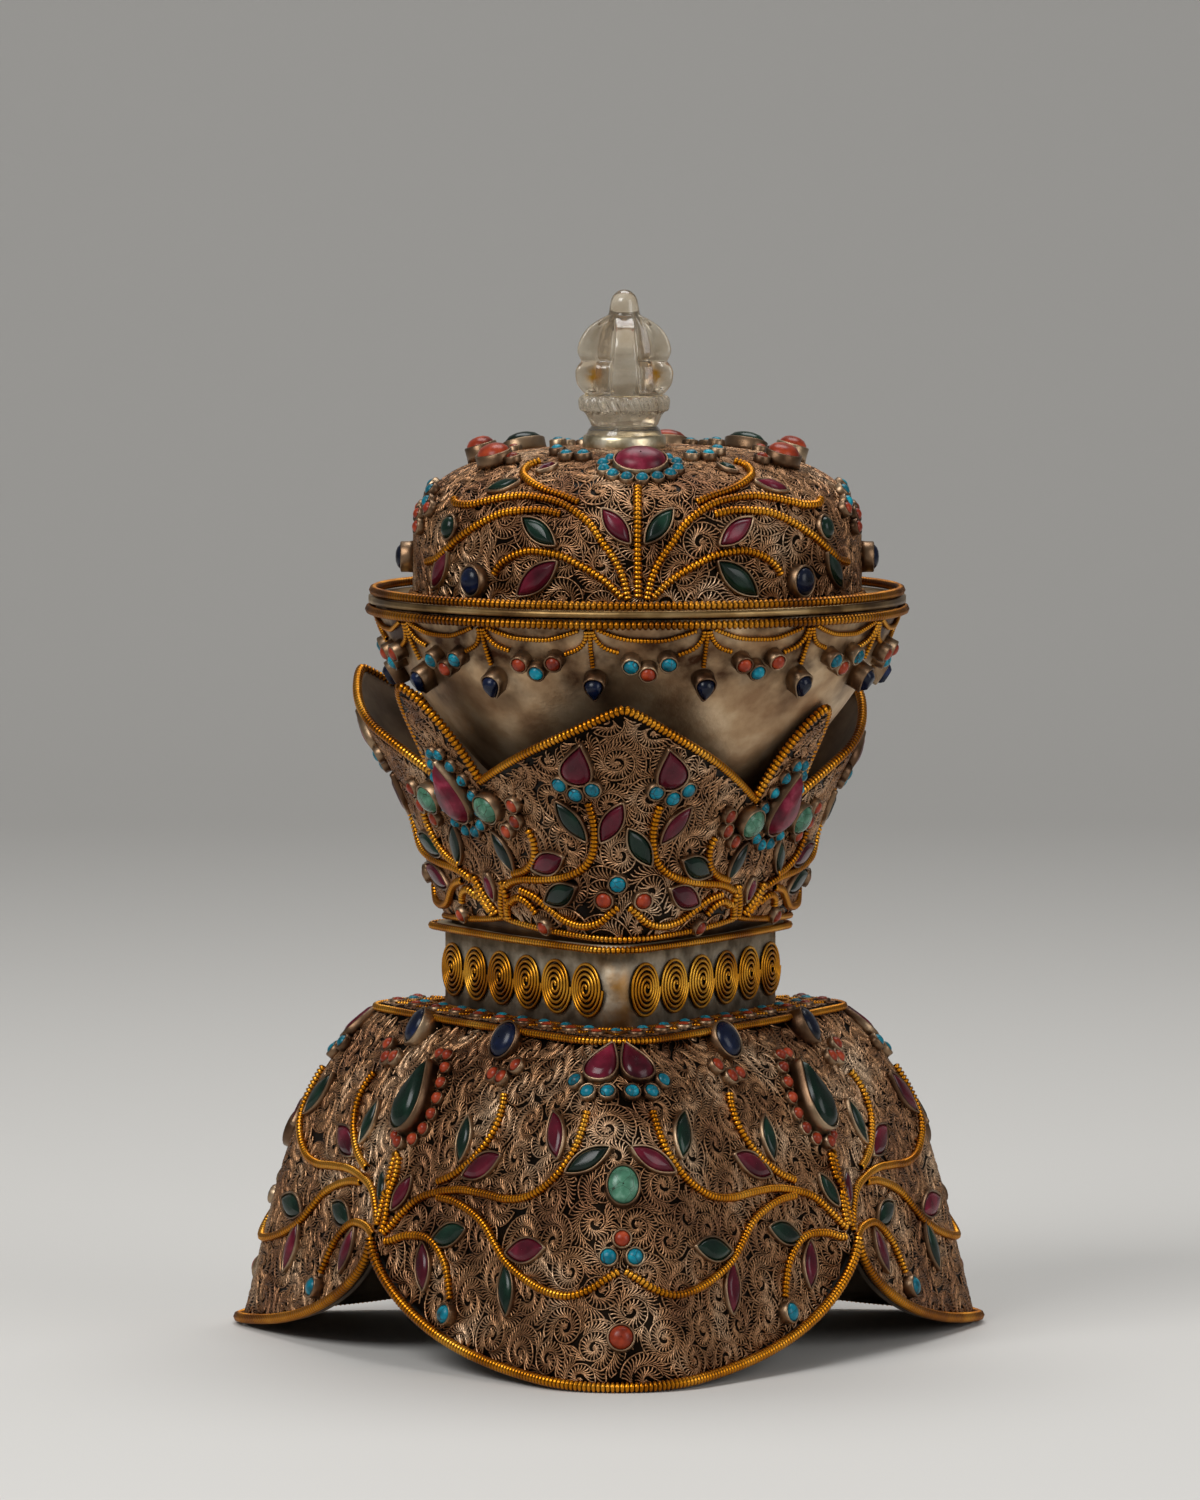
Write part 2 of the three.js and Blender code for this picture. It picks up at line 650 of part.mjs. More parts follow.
function lidShell() {
  const steps = 6;
  const hole = tangRadius + tangRunningGap;
  const quarter = Math.PI / 2;
  const rise = (by) => Array.from({ length: steps }, (_, i) => domeSpot(quarter * i / steps, by));
  const profile = [[flangeReach, 0], [flangeReach, lidSheet], [domeReach, lidSheet], ...rise(0),
    [0, crownHeight], [0, crownHeight - lidSheet], ...rise(lidSheet).toReversed(),
    [domeReach - lidSheet, 0], [flangeReach, 0]];
  const bore = new THREE.CylinderGeometry(hole, hole, 4 * lidSheet, boreSides);
  bore.rotateX(quarter);
  bore.translate(finialShift, 0, crownHeight);
  const ribs = [0, Math.PI].flatMap((middle) => [-1, 1].flatMap((hand) =>
    lidVines.map((knots) => rib(domePoint, knots, middle, hand))));
  const bosses = [0, Math.PI].flatMap((middle) => lidBosses.map((stone) => boss(domePoint, middle, stone)));
  const plain = toSolid(turned(profile)).subtract(toSolid(bore));
  return joined([toGeometry(plain), ...ribs, ...bosses]);
}

function lidLip() {
  const outer = bowlRadius(lipHeight, innerReach, innerHeight) - 2 * clearance;
  const inner = outer - lidSheet;
  return turned([[inner, 0], [outer, 0], [outer, lipHeight], [inner, lipHeight], [inner, 0]]);
}

// The socket: a cup for the crystal's foot, and a tang through the crown to the nut inside
const tangLength = lidSheet + 2 * clearance + nutThickness;
function finialSocket() {
  const cup = socketReach - socketRebate;
  const nutBore = tangRadius * nutGrip;
  return turned([[0, -tangLength], [nutBore, -tangLength], [tangRadius, 0], [socketReach, 0],
    [socketReach, socketHeight], [cup, socketHeight], [cup, socketHeight / 2],
    [0, socketHeight / 2]], smallTurnedSides);
}

function socketNut() {
  const hole = tangRadius + tangRunningGap;
  return turned([[hole, 0], [nutReach, 0], [nutReach, nutThickness], [hole, nutThickness],
    [hole, 0]], smallTurnedSides);
}

// Outline of the crossed prongs: an upper hook over a lower one, on both sides of the knob
function prongShape() {
  const shape = new THREE.Shape();
  const waist = prongHeight * prongWaistShares.up;
  const notch = prongReach * prongWaistShares.across;
  const hip = prongReach * prongHipShares.across;
  const belly = prongReach * prongHipShares.belly;
  const bellyUp = prongHeight * prongHipShares.bellyUp;
  const shoulder = prongReach * prongShoulderShares.across;
  const shoulderUp = prongHeight * prongShoulderShares.up;
  const sideUp = prongHeight * prongShoulderShares.sideUp;
  const neckWidth = knobReach * prongShoulderShares.neck;
  shape.moveTo(-hip, 0);
  shape.lineTo(hip, 0);
  shape.quadraticCurveTo(belly, bellyUp, notch, waist);
  shape.bezierCurveTo(prongReach, sideUp, shoulder, shoulderUp, neckWidth, prongHeight);
  shape.lineTo(-neckWidth, prongHeight);
  shape.bezierCurveTo(-shoulder, shoulderUp, -prongReach, sideUp, -notch, waist);
  shape.quadraticCurveTo(-belly, bellyUp, -hip, 0);
  return shape;
}

function prongPair(turn) {
  const geometry = new THREE.ExtrudeGeometry(prongShape(), {
    depth: prongWidth - 2 * prongBevelWidth, curveSegments: 5, bevelThickness: prongBevelWidth,
    bevelSize: prongBevelWidth, bevelOffset: -prongBevelWidth, bevelSegments: 1,
  });
  geometry.translate(0, 0, -prongWidth / 2 + prongBevelWidth);
  geometry.rotateX(Math.PI / 2);
  geometry.rotateZ(turn);
  geometry.translate(0, 0, crystalCupHeight - prongBevelWidth);
  return geometry;
}

function crystalFinial() {
  const footReach = socketReach - socketRebate - clearance;
  const footDepth = socketHeight / 2 - clearance;
  const rim = footDepth + footRimHeight;
  const knobBase = crystalCupHeight + prongHeight - knobSinkDepth;
  const top = knobBase + knobHeight + knobSinkDepth / 2;
  const stem = turned([[0, 0], [footReach, 0], [footReach, rim], [crystalFootReach + footFlareWidth, rim],
    [crystalWaistReach, footDepth + footWaistHeight],
    [crystalCupReach - cupTaperWidth, crystalCupHeight - crystalCupDepth],
    [crystalCupReach, crystalCupHeight - crystalBandDepth],
    [crystalCupReach - lipTaperWidth, crystalCupHeight],
    [knobReach * knobShares.foot, crystalCupHeight + knobFootHeight], [knobReach * knobShares.neck, knobBase],
    [knobReach * knobShares.shoulder, top - knobShoulderDepth],
    [knobReach * knobShares.crown, top - knobCrownDepth],
    [0, top]], smallTurnedSides);
  return joined([stem, prongPair(0), prongPair(Math.PI / 2)]);
}

// Outline of a stone: a teardrop with its point up, or an oval
const pointSharpness = 1.5;
const pointNarrowing = 0.35;
const pointGrowth = 0.6;
function teardrop(width, height, grow = 0) {
  const half = width / 2 + grow;
  const low = -height / 2 + width / 2;
  return Array.from({ length: stoneSides }, (_, i) => {
    const turn = 2 * Math.PI * i / stoneSides;
    const taper = Math.max(Math.cos(turn), 0) ** pointSharpness;
    const point = (height - width + grow * pointGrowth) * taper;
    return new THREE.Vector2(half * Math.sin(turn) * (1 - pointNarrowing * taper),
      low + half * Math.cos(turn) + point);
  });
}

function oval(width, height, grow = 0) {
  return Array.from({ length: stoneSides }, (_, i) => {
    const turn = 2 * Math.PI * i / stoneSides;
    return new THREE.Vector2((width / 2 + grow) * Math.sin(turn), (height / 2 + grow) * Math.cos(turn));
  });
}

// A bezel: an upright wall round a stone's outline
function bezel(outline, width, height) {
  const inner = outline(width, height, clearance);
  const outer = outline(width, height, clearance + bezelWall);
  return loop(inner.map((p, i) => [
    new THREE.Vector3(p.x, p.y, 0), new THREE.Vector3(p.x, p.y, bezelHeight),
    new THREE.Vector3(outer[i].x, outer[i].y, bezelHeight), new THREE.Vector3(outer[i].x, outer[i].y, 0),
  ]));
}

// A cabochon: the outline carried up to the bezel's lip, then drawn in to a low dome
function cabochon(outline, width, height) {
  const rings = [[1, 0], [1, bezelHeight],
    [cabochonShares.share, bezelHeight + stoneRise * cabochonShares.up],
    [cabochonCrownShare, bezelHeight + stoneRise]];
  const rim = outline(width, height);
  const middle = rim.reduce((sum, p) => sum.add(p), new THREE.Vector2()).divideScalar(rim.length);
  return stretch(rings.map(([share, z]) => rim.map((p) => {
    const spot = middle.clone().lerp(p, share);
    return new THREE.Vector3(spot.x, spot.y, z);
  })));
}

// A stone in its bezel, seated on a surface given as a function of azimuth and height parameter
function setting(name, outline, stone, look, surface, azimuth, level) {
  const frame = surfaceFrame(surface, azimuth, level);
  return [
    piece(`${name}_bezel`, bezel(outline, stone.width, stone.height), silver),
    piece(`${name}_stone`, cabochon(outline, stone.width, stone.height), look),
  ].map((mesh) => {
    mesh.applyMatrix4(frame);
    mesh.translateZ(clearance + stone.lift);
    return mesh;
  });
}

function stand() {
  const plateSection = inset(collar, -plateOverhang);
  const collarBase = shelfHeight + clearance;
  const collarTop = collarBase + collarHeight;
  const shelfEdge = shelfHeight - plateThickness / 2;
  const holder = at(holderShift, 0, 0,
    piece('holder_neck', band(neck, standSheet, plateTop + clearance, neckTop), silver),
    at(0, 0, holderBase,
      piece('holder_shell', holderShell(), filigree),
      piece('petal_edge_wire', petalWire(), gilt),
      ...SIDES.flatMap((side, i) => setting(`holder_${SIDE_NAMES[i]}`, teardrop, holderStone, ruby,
        (azimuth, height) => holderPoint(azimuth, height), side, holderHeight - holderStone.drop))),
    );
  const seat = at(bowlShift, 0, plateTop + clearance, piece('bowl_seat', bowlSeat(), silver));
  return [
    piece('skirt_shell', ornateSkirt(), filigree),
    ...CORNERS.map((corner, i) => piece(`hem_wire_${CORNER_NAMES[i]}`, hemWire(corner), gilt)),
    ...SIDES.flatMap((side, i) => setting(`skirt_${SIDE_NAMES[i]}`, teardrop, skirtStone, green,
      skirtPoint, side, skirtStone.depth)),
    piece('shelf_plate', plate(shelf, shelfHeight - plateThickness, shelfHeight), filigree),
    piece('shelf_edge_wire', edgeWire(shelf, shelfEdge), gilt),
    piece('collar_band', band(collar, standSheet, collarBase, collarTop), silver),
    ...coilScrolls(),
    piece('collar_plate', plate(plateSection, collarTop + clearance, plateTop), silver),
    piece('collar_edge_wire', edgeWire(plateSection, plateTop - plateThickness / 2), gilt),
    holder,
    seat,
  ];
}

function bowl() {
  const wireReach = bowlReach + clearance + rimWireRadius;
  return at(bowlShift, 0, bowlBase,
    piece('bowl_shell', bowlShell(), silver),
    piece('bowl_rim_wire', torus(wireReach, rimWireRadius, bowlHeight - rimWireRadius), gilt),
    piece('bowl_fringe', bowlFringe(), lapis));
}

function lid() {
  const wireReach = flangeReach - rimWireRadius;
  const wireHeight = lidSheet + clearance + rimWireRadius;
  const crown = crownHeight;
  const domeSurface = (azimuth, level) => {
    const [radius, z] = domeSpot(level);
    return polar(azimuth, radius, z);
  };
  const stoneLevel = Math.acos((lidStone.reach / domeReach) ** (domeFullness / 2));
  return at(bowlShift, 0, flangeBase,
    piece('lid_shell', lidShell(), filigree),
    at(0, 0, -clearance - lipHeight, piece('lid_lip', lidLip(), silver)),
    piece('lid_rim_wire', torus(wireReach, rimWireRadius, wireHeight), gilt),
    ...lidStoneTurns.flatMap((turn, i) => setting(`lid_${CORNER_NAMES[i]}`, oval, lidStone,
      turn === 0 ? ruby : green, domeSurface, THREE.MathUtils.degToRad(turn), stoneLevel)),
    at(finialShift, 0, crown + clearance,
      piece('finial_socket', finialSocket(), silver),
      at(0, 0, socketHeight / 2 + clearance, piece('crystal_finial', crystalFinial(), crystal))),
    at(finialShift, 0, crown - lidSheet - clearance - nutThickness,
      piece('socket_nut', socketNut(), silver)));
}

// The front corner reaches further from the axis than the side behind it, so the axis stands back
const wireOut = clearance + 2 * rimWireRadius;
const backReach = hem.reach / 2 - hem.round / 2 + hem.round + hem.bulge + wireOut;
const axisShift = (hem.reach + wireOut - backReach) / 2;

const kapala = new THREE.Group();
kapala.position.y = axisShift;
kapala.add(...stand(), bowl(), lid());

export default kapala;
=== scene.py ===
# %% [markdown]
# # A kapala: a covered ritual bowl on a filigree stand
# The real piece is silver. Its three-lobed stand, petalled holder and domed lid are thin sheet, covered with
# curls of fine wire, gilded beaded wires and small set stones. Everything visible is worked out here as
# surfaces on a grid, because on the real piece too each part is a sheet or a wire laid on a sheet.

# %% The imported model
import math
import bpy
import numpy as np
from mathutils import Matrix, Vector


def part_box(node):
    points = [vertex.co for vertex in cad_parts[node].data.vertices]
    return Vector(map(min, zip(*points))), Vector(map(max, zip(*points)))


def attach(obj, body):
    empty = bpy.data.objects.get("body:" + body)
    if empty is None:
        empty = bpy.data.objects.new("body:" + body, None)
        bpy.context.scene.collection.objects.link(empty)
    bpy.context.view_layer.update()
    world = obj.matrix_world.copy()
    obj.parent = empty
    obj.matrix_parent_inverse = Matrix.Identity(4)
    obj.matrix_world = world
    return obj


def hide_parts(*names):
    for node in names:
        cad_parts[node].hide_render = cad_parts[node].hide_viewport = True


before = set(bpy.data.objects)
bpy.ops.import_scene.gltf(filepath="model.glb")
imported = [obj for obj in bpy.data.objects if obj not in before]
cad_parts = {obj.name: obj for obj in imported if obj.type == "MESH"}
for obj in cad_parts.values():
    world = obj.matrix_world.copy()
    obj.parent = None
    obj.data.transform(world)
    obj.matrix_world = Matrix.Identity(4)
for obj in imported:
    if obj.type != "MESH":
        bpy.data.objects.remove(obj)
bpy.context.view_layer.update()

TAU = 2 * math.pi
FINE = 1e-3  # a small step, in radians or in levels of a surface
TINY = 1e-9  # keeps a division away from zero


def low(node):
    """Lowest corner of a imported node, in millimetres."""
    return np.array(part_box(node)[0]) * 1000


def high(node):
    """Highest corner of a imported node, in millimetres."""
    return np.array(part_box(node)[1]) * 1000


def centre(node):
    """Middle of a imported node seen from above."""
    return (low(node)[:2] + high(node)[:2]) / 2


def unit(vectors):
    """Directions of length one."""
    return vectors / np.maximum(np.linalg.norm(vectors, axis=-1, keepdims=True), TINY)


def new_object(name, data):
    """A new object in the scene."""
    made = bpy.data.objects.new(name, data)
    bpy.context.scene.collection.objects.link(made)
    return made


print("packed model, mm:", (high("crystal_finial")[2]).round(1), "high")

# %% [markdown]
# ## The picture
# The camera stands a long way off with a long lens, a little above the table, so that upright lines stay
# upright. The same numbers also turn a spot of the picture into a spot on the piece: a line of sight is
# followed until it meets a surface, and a stone or vine is set there.

# %% The camera
PICTURE = np.array([1200.0, 1500.0])
MM_PER_PIXEL = 0.2462
FOCAL_PIXELS = 12800.0
AXIS_PIXEL = 612.0
TABLE_PIXEL = 1343.0
ELEVATION = math.radians(4.3)
AZIMUTH = math.radians(-1.0)
BOWL_AXIS = centre("bowl_shell")
STAND_AXIS = np.array([0.0, BOWL_AXIS[1]])

distance = FOCAL_PIXELS * MM_PER_PIXEL
AHEAD = np.array([-math.cos(ELEVATION) * math.sin(AZIMUTH), math.cos(ELEVATION) * math.cos(AZIMUTH),
                  -math.sin(ELEVATION)])
RIGHT = np.array([math.cos(AZIMUTH), math.sin(AZIMUTH), 0.0])
ABOVE = np.cross(RIGHT, AHEAD)
aim_across = (PICTURE[0] / 2 - AXIS_PIXEL) * MM_PER_PIXEL
aim_height = (TABLE_PIXEL - PICTURE[1] / 2) * MM_PER_PIXEL / math.cos(ELEVATION)
aim = np.array([*STAND_AXIS, aim_height]) + RIGHT * aim_across
EYE = aim - AHEAD * distance

camera = new_object("camera", bpy.data.cameras.new("camera"))
camera.data.sensor_width = 36.0
camera.data.lens = FOCAL_PIXELS / PICTURE[1] * camera.data.sensor_width
camera.data.clip_end = 50.0
camera.matrix_world = Matrix.Translation(Vector(EYE / 1000)) @ Matrix(
    np.array([RIGHT, ABOVE, -AHEAD]).T.tolist()).to_4x4()
bpy.context.scene.camera = camera
print("camera", (EYE / 1000).round(3), "m, lens", round(camera.data.lens, 1), "mm")

# %% [markdown]
# ## The studio
# A pale sweep of floor and wall, one large soft lamp high on the left, a weaker one on the right and a low
# even sky. Metal needs something to reflect, so the lamps are broad.

# %% Small helpers for colours, nodes and materials


def linear(code):
    """An sRGB hex colour in linear light."""
    parts = np.array([int(code[i:i + 2], 16) / 255 for i in (1, 3, 5)])
    straight = np.where(parts <= 0.04045, parts / 12.92, ((parts + 0.055) / 1.055) ** 2.4)
    return (*straight, 1.0)


def add(tree, kind, links=(), **values):
    """Adds a node with its settings, input values and links: links are (input, source socket)."""
    made = tree.nodes.new(kind)
    for key, value in values.items():
        if hasattr(made, key):
            setattr(made, key, value)
        else:
            made.inputs[key.replace("_", " ")].default_value = value
    for entry, source in links:
        tree.links.new(made.inputs[entry], source)
    return made


def new_material(name):
    """An empty material with its shader and the object's own coordinates."""
    material = bpy.data.materials.new(name)
    material.use_nodes = True
    tree = material.node_tree
    shader = tree.nodes["Principled BSDF"]
    place = add(tree, "ShaderNodeTexCoord").outputs["Object"]
    return material, tree, shader, place


def matte(name, colour, roughness, shine):
    """A plain material of one colour."""
    material, tree, shader, place = new_material(name)
    shader.inputs["Base Color"].default_value = linear(colour)
    shader.inputs["Roughness"].default_value = roughness
    shader.inputs["Specular IOR Level"].default_value = shine
    return material, tree, shader


def ramp(tree, source, stops):
    """A colour ramp fed by source, with (position, hex) stops."""
    made = add(tree, "ShaderNodeValToRGB", [("Fac", source)])
    marks = made.color_ramp.elements
    while len(marks) < len(stops):
        marks.new(0.5)
    for mark, (position, code) in zip(marks, stops):
        mark.position = position
        mark.color = linear(code)
    return made.outputs["Color"]


# %% Floor, wall and lamps
PAPER_COLOUR = "#cfcdc9"
PAPER_FRONT, PAPER_BACK = -9.0, 1.6
PAPER_HALF = 6.0
PAPER_BEND = 0.8
PAPER_TOP = 3.0


def studio():
    """The floor runs back and sweeps up into a wall: an arc of one radius joins the two. From behind, the
    paper is clear, so that it never hides the cup."""
    turn = np.linspace(0, math.pi / 2, 13)
    y = np.concatenate([[PAPER_FRONT], PAPER_BACK + PAPER_BEND * np.sin(turn), [PAPER_BACK + PAPER_BEND]])
    z = np.concatenate([[0], PAPER_BEND - PAPER_BEND * np.cos(turn), [PAPER_TOP]])
    left = np.stack([np.full_like(y, -PAPER_HALF), y, z], -1)
    right = left * [-1, 1, 1]
    steps = len(y)
    faces = [(i, i + steps, i + steps + 1, i + 1) for i in range(steps - 1)]
    mesh = bpy.data.meshes.new("floor")
    mesh.from_pydata(np.concatenate([left, right]).tolist(), [], faces)
    mesh.shade_smooth()
    material, tree, shader = matte("pale paper", PAPER_COLOUR, 0.6, 0.5)
    behind = add(tree, "ShaderNodeNewGeometry").outputs["Backfacing"]
    clear = add(tree, "ShaderNodeBsdfTransparent").outputs["BSDF"]
    paper = add(tree, "ShaderNodeMixShader", [(0, behind), (1, shader.outputs["BSDF"]), (2, clear)])
    tree.links.new(tree.nodes["Material Output"].inputs["Surface"], paper.outputs["Shader"])
    mesh.materials.append(material)
    new_object("floor", mesh)


def lamp(name, spot, target, size, power):
    """A square soft lamp at a spot, turned to face a target."""
    light = bpy.data.lights.new(name, "AREA")
    light.shape = "RECTANGLE"
    light.size, light.size_y = size
    light.energy = power
    made = new_object(name, light)
    made.location = spot
    made.rotation_euler = (Vector(target) - Vector(spot)).to_track_quat("-Z", "Y").to_euler()


studio()
MIDDLE = (0.0, 0.0, 0.13)
lamp("key lamp", (-0.9, -1.1, 1.3), MIDDLE, (0.9, 0.9), 22)
lamp("fill lamp", (1.2, -1.0, 0.7), MIDDLE, (0.8, 1.0), 8)
lamp("top lamp", (0.1, 0.5, 1.5), MIDDLE, (1.0, 0.7), 12)
sky = bpy.data.worlds.new("studio air")
bpy.context.scene.world = sky
sky.use_nodes = True
sky.node_tree.nodes["Background"].inputs["Color"].default_value = linear("#c8c8c8")
sky.node_tree.nodes["Background"].inputs["Strength"].default_value = 0.35
bpy.context.scene.view_settings.view_transform = "Standard"

# %% [markdown]
# ## Surfaces
# Each sheet of the piece is a surface given by an azimuth round the axis and a level down or up the wall.
# A surface knows two things: the point at an azimuth and level, and the azimuth and level nearest to a
# point in space. With both, anything drawn flat can be laid on it.

# %% The three-cornered section
THIRD = TAU / 3
# Each section is (reach of a corner, radius of its rounding, bulge of a side).
HEM = (101.7, 23.0, 5.0)
SHELF = (63.9, 11.2, 1.6)
COLLAR = (46.6, 4.6, 2.0)
NECK = (44.2, 8.4, 3.4)
HOLDER_ROOT = (46.8, 9.8, 3.7)
HOLDER_MOUTH = (71.6, 44.3, 2.4)


def from_corner(azimuth):
    """Angle from the nearest corner: 0 at a corner and a sixth of a turn at the middle of a side."""
    return np.abs((azimuth + THIRD / 2) % THIRD - THIRD / 2)


def section(azimuth, reach, rounding, bulge):
    """Radius of a triangle with round corners: an arc of one radius at each corner, and sides that are
    long arcs which the corner arcs meet without a break."""
    turn = from_corner(azimuth)
    arm = reach - rounding
    side = arm / 2 + rounding + bulge
    side_arc = (side**2 + arm**2 - arm * side - rounding**2) / (2 * bulge)
    back = side_arc - side
    across = np.hypot(arm + back / 2, back * math.sqrt(3) / 2)
    joint = np.arctan2(back * math.sqrt(3) / 2 * rounding / across,
                       arm + (arm + back / 2) * rounding / across)
    corner = arm * np.cos(turn) + np.sqrt(np.maximum(rounding**2 - (arm * np.sin(turn)) ** 2, 0))
    beside = THIRD / 2 - turn
    flank = np.sqrt(side_arc**2 - (back * np.sin(beside)) ** 2) - back * np.cos(beside)
    return np.where(turn < joint, corner, flank)


def reach_of(azimuth, shape):
    """Radius of a section, or the radius itself."""
    return section(azimuth, *shape) if isinstance(shape, tuple) else shape


def inset(shape, by):
    """The same section moved in by a distance: the corner arcs shrink and the bulge stays."""
    reach, rounding, bulge = shape
    return reach - by, rounding - by, bulge


def between(a, b, share):
    """A section part of the way from one section to another."""
    return tuple(x + (y - x) * share for x, y in zip(a, b))


def polar(azimuth, radius, z, axis=STAND_AXIS):
    """Points at azimuths counted from the front, round an upright axis."""
    azimuth, radius, z = np.broadcast_arrays(azimuth, radius, z)
    return np.stack([axis[0] + radius * np.sin(azimuth), axis[1] - radius * np.cos(azimuth), z], -1)


def azimuth_of(points, axis=STAND_AXIS):
    """Azimuths of points round an upright axis."""
    return np.arctan2(points[..., 0] - axis[0], axis[1] - points[..., 1])


def radius_of(points, axis):
    """Distances of points from an upright axis."""
    return np.hypot(points[..., 0] - axis[0], points[..., 1] - axis[1])


def level_out(azimuth):
    """The level direction away from an upright axis."""
    return polar(azimuth, 1.0, 0.0, np.zeros(2))


def by_height(start, climb, axis=STAND_AXIS):
    """How to find the azimuths and levels nearest to points, where the levels go evenly up or down: climb
    is the height from level 0 to level 1, at an azimuth or everywhere."""
    def find(points):
        azimuth = azimuth_of(points, axis)
        way = climb(azimuth) if callable(climb) else climb
        return azimuth, np.clip((points[..., 2] - start) / way, 0, 1)
    return find


# %% The skirt
CUSP_RISE = 28.3
LOBE_FLATNESS = 1.7
LOBE_FULLNESS = 0.6
SKIRT_SLOPE = 0.55
SHOULDER = 5
GAP = 0.3
SKIRT_TOP = low("shelf_plate")[2] - GAP
HEM_LIFT = 0.6


def hem_rise(azimuth):
    """Height of the hem: nothing at a corner, rising along a full curve to a cusp at a side's middle."""
    share = np.clip(from_corner(azimuth) / (THIRD / 2), 0, 1)
    return CUSP_RISE * (1 - (1 - share**LOBE_FLATNESS) ** LOBE_FULLNESS)


def skirt(azimuth, level, out=0.0):
    """The skirt from the shelf (level 0) to the hem (level 1): its section grows fast at the shoulder,
    then steadily, and its height falls evenly to the hem's own height at that azimuth."""
    spread = SKIRT_SLOPE * level + (1 - SKIRT_SLOPE) * (1 - (1 - level) ** SHOULDER)
    shape = inset(between(SHELF, HEM, spread), -out)
    bottom = hem_rise(azimuth) + HEM_LIFT
    return polar(azimuth, section(azimuth, *shape), SKIRT_TOP + (bottom - SKIRT_TOP) * level)


on_skirt = by_height(SKIRT_TOP, lambda azimuth: hem_rise(azimuth) + HEM_LIFT - SKIRT_TOP)

# %% The holder and its petals
HOLDER_BASE = low("holder_shell")[2]
HOLDER_AXIS = np.array([1.7, STAND_AXIS[1]])
HOLDER_HEIGHT = 52.6
VALLEY_DROP = 22.5
NARROW_PETAL = math.radians(13.5)
WIDE_ROUNDNESS = 0.66
CORNER_DIP = 3.1
SIDE_DIP = 2.0
CORNER_DIP_CURVE = 0.6
DIP_FADE = 3
WIDE_PETAL = THIRD / 2 - NARROW_PETAL
NARROW_ROUNDNESS = 1.7
TIP_SOFTNESS = 0.15
EDGE_LEAN = 3.2
HOLDER_FLARE = 1.6
ROOT_SWELL = 0.12
ROOT_SHARPNESS = 12


def petal_edge(azimuth):
    """Height of the holder's edge: wide petals at the corners with softly pointed tips, narrow and
    rounder ones at the sides, and the whole edge a little higher on the left."""
    turn = from_corner(azimuth)
    soft = (np.hypot(turn / WIDE_PETAL, TIP_SOFTNESS) - TIP_SOFTNESS) / (
        math.hypot(1, TIP_SOFTNESS) - TIP_SOFTNESS)
    narrow = np.clip((THIRD / 2 - turn) / NARROW_PETAL, 0, 1) ** NARROW_ROUNDNESS
    drop = np.where(turn < WIDE_PETAL, np.maximum(soft, 0) ** WIDE_ROUNDNESS, narrow)
    return HOLDER_HEIGHT - VALLEY_DROP * drop - EDGE_LEAN * np.sin(azimuth)


def holder(azimuth, level, out=0.0):
    """The holder from its root (level 0) to its edge (level 1): it swells at once, then flares slowly. Its
    root dips over the neck, most at the corners."""
    height = level * petal_edge(azimuth)
    share = height / HOLDER_HEIGHT
    swell = ROOT_SWELL * (1 - (1 - np.minimum(share, 1)) ** ROOT_SHARPNESS)
    spread = (1 - ROOT_SWELL) * share**HOLDER_FLARE + swell
    shape = inset(between(HOLDER_ROOT, HOLDER_MOUTH, spread), -out)
    dip = SIDE_DIP + CORNER_DIP * np.maximum(1 - from_corner(azimuth) / (THIRD / 2), 0) ** CORNER_DIP_CURVE
    dip = dip * (1 - np.clip(share, 0, 1)) ** DIP_FADE
    return polar(azimuth, section(azimuth, *shape), HOLDER_BASE + height - dip, HOLDER_AXIS)


on_holder = by_height(HOLDER_BASE, petal_edge, HOLDER_AXIS)

# %% The lid's dome
LID_BASE = low("lid_shell")[2]
LID_SHEET = 1.4
DOME_REACH = 54.8
DOME_FOOT = LID_BASE + LID_SHEET
DOME_WALL = 10.0
DOME_HEIGHT = 26.4
DOME_FULLNESS = 3.0
QUARTER = math.pi / 2
dome_angle = np.linspace(0, QUARTER, 400)
dome_power = 2 / DOME_FULLNESS
DOME_RADII = np.concatenate([[DOME_REACH], DOME_REACH * np.cos(dome_angle) ** dome_power])
DOME_RISES = np.concatenate([[0], DOME_WALL + DOME_HEIGHT * np.sin(dome_angle) ** dome_power])
DOME_RUN = np.concatenate([[0], np.cumsum(np.hypot(np.diff(DOME_RADII), np.diff(DOME_RISES)))])
DOME_LEVELS = DOME_RUN / DOME_RUN[-1]


def dome(azimuth, level, out=0.0):
    """The lid from its flange (level 0) to its crown (level 1): an upright wall, then a superellipse,
    whose radius and height are powers of a cosine and a sine. The level is the way gone along it."""
    ahead = np.minimum(np.asarray(level) + FINE, 1)
    curve = np.stack([DOME_RADII, DOME_RISES])
    radius, rise = (np.interp(level, DOME_LEVELS, values) for values in curve)
    run, climb = (np.interp(ahead, DOME_LEVELS, values) - np.interp(ahead - 2 * FINE, DOME_LEVELS, values)
                  for values in curve)
    size = np.hypot(run, climb)
    radius = np.maximum(radius + out * climb / size, 0)
    return polar(azimuth, radius, DOME_FOOT + rise - out * run / size, BOWL_AXIS)


def on_dome(points):
    """Azimuths and levels of the dome nearest to points: a level goes with a slope seen from its middle."""
    slope = np.arctan2(points[..., 2] - DOME_FOOT, radius_of(points, BOWL_AXIS))
    return azimuth_of(points, BOWL_AXIS), np.interp(slope, np.arctan2(DOME_RISES, DOME_RADII), DOME_LEVELS)


# %% The shelf on top of the skirt
SHELF_TOP = high("shelf_plate")[2]
SHELF_INNER = 0.7


def shelf(azimuth, level, out=0.0):
    """The flat shelf: level 0 is near the collar and level 1 is the shelf's edge."""
    radius = section(azimuth, *SHELF) * (SHELF_INNER + (1 - SHELF_INNER) * level)
    return polar(azimuth, radius, SHELF_TOP + out)


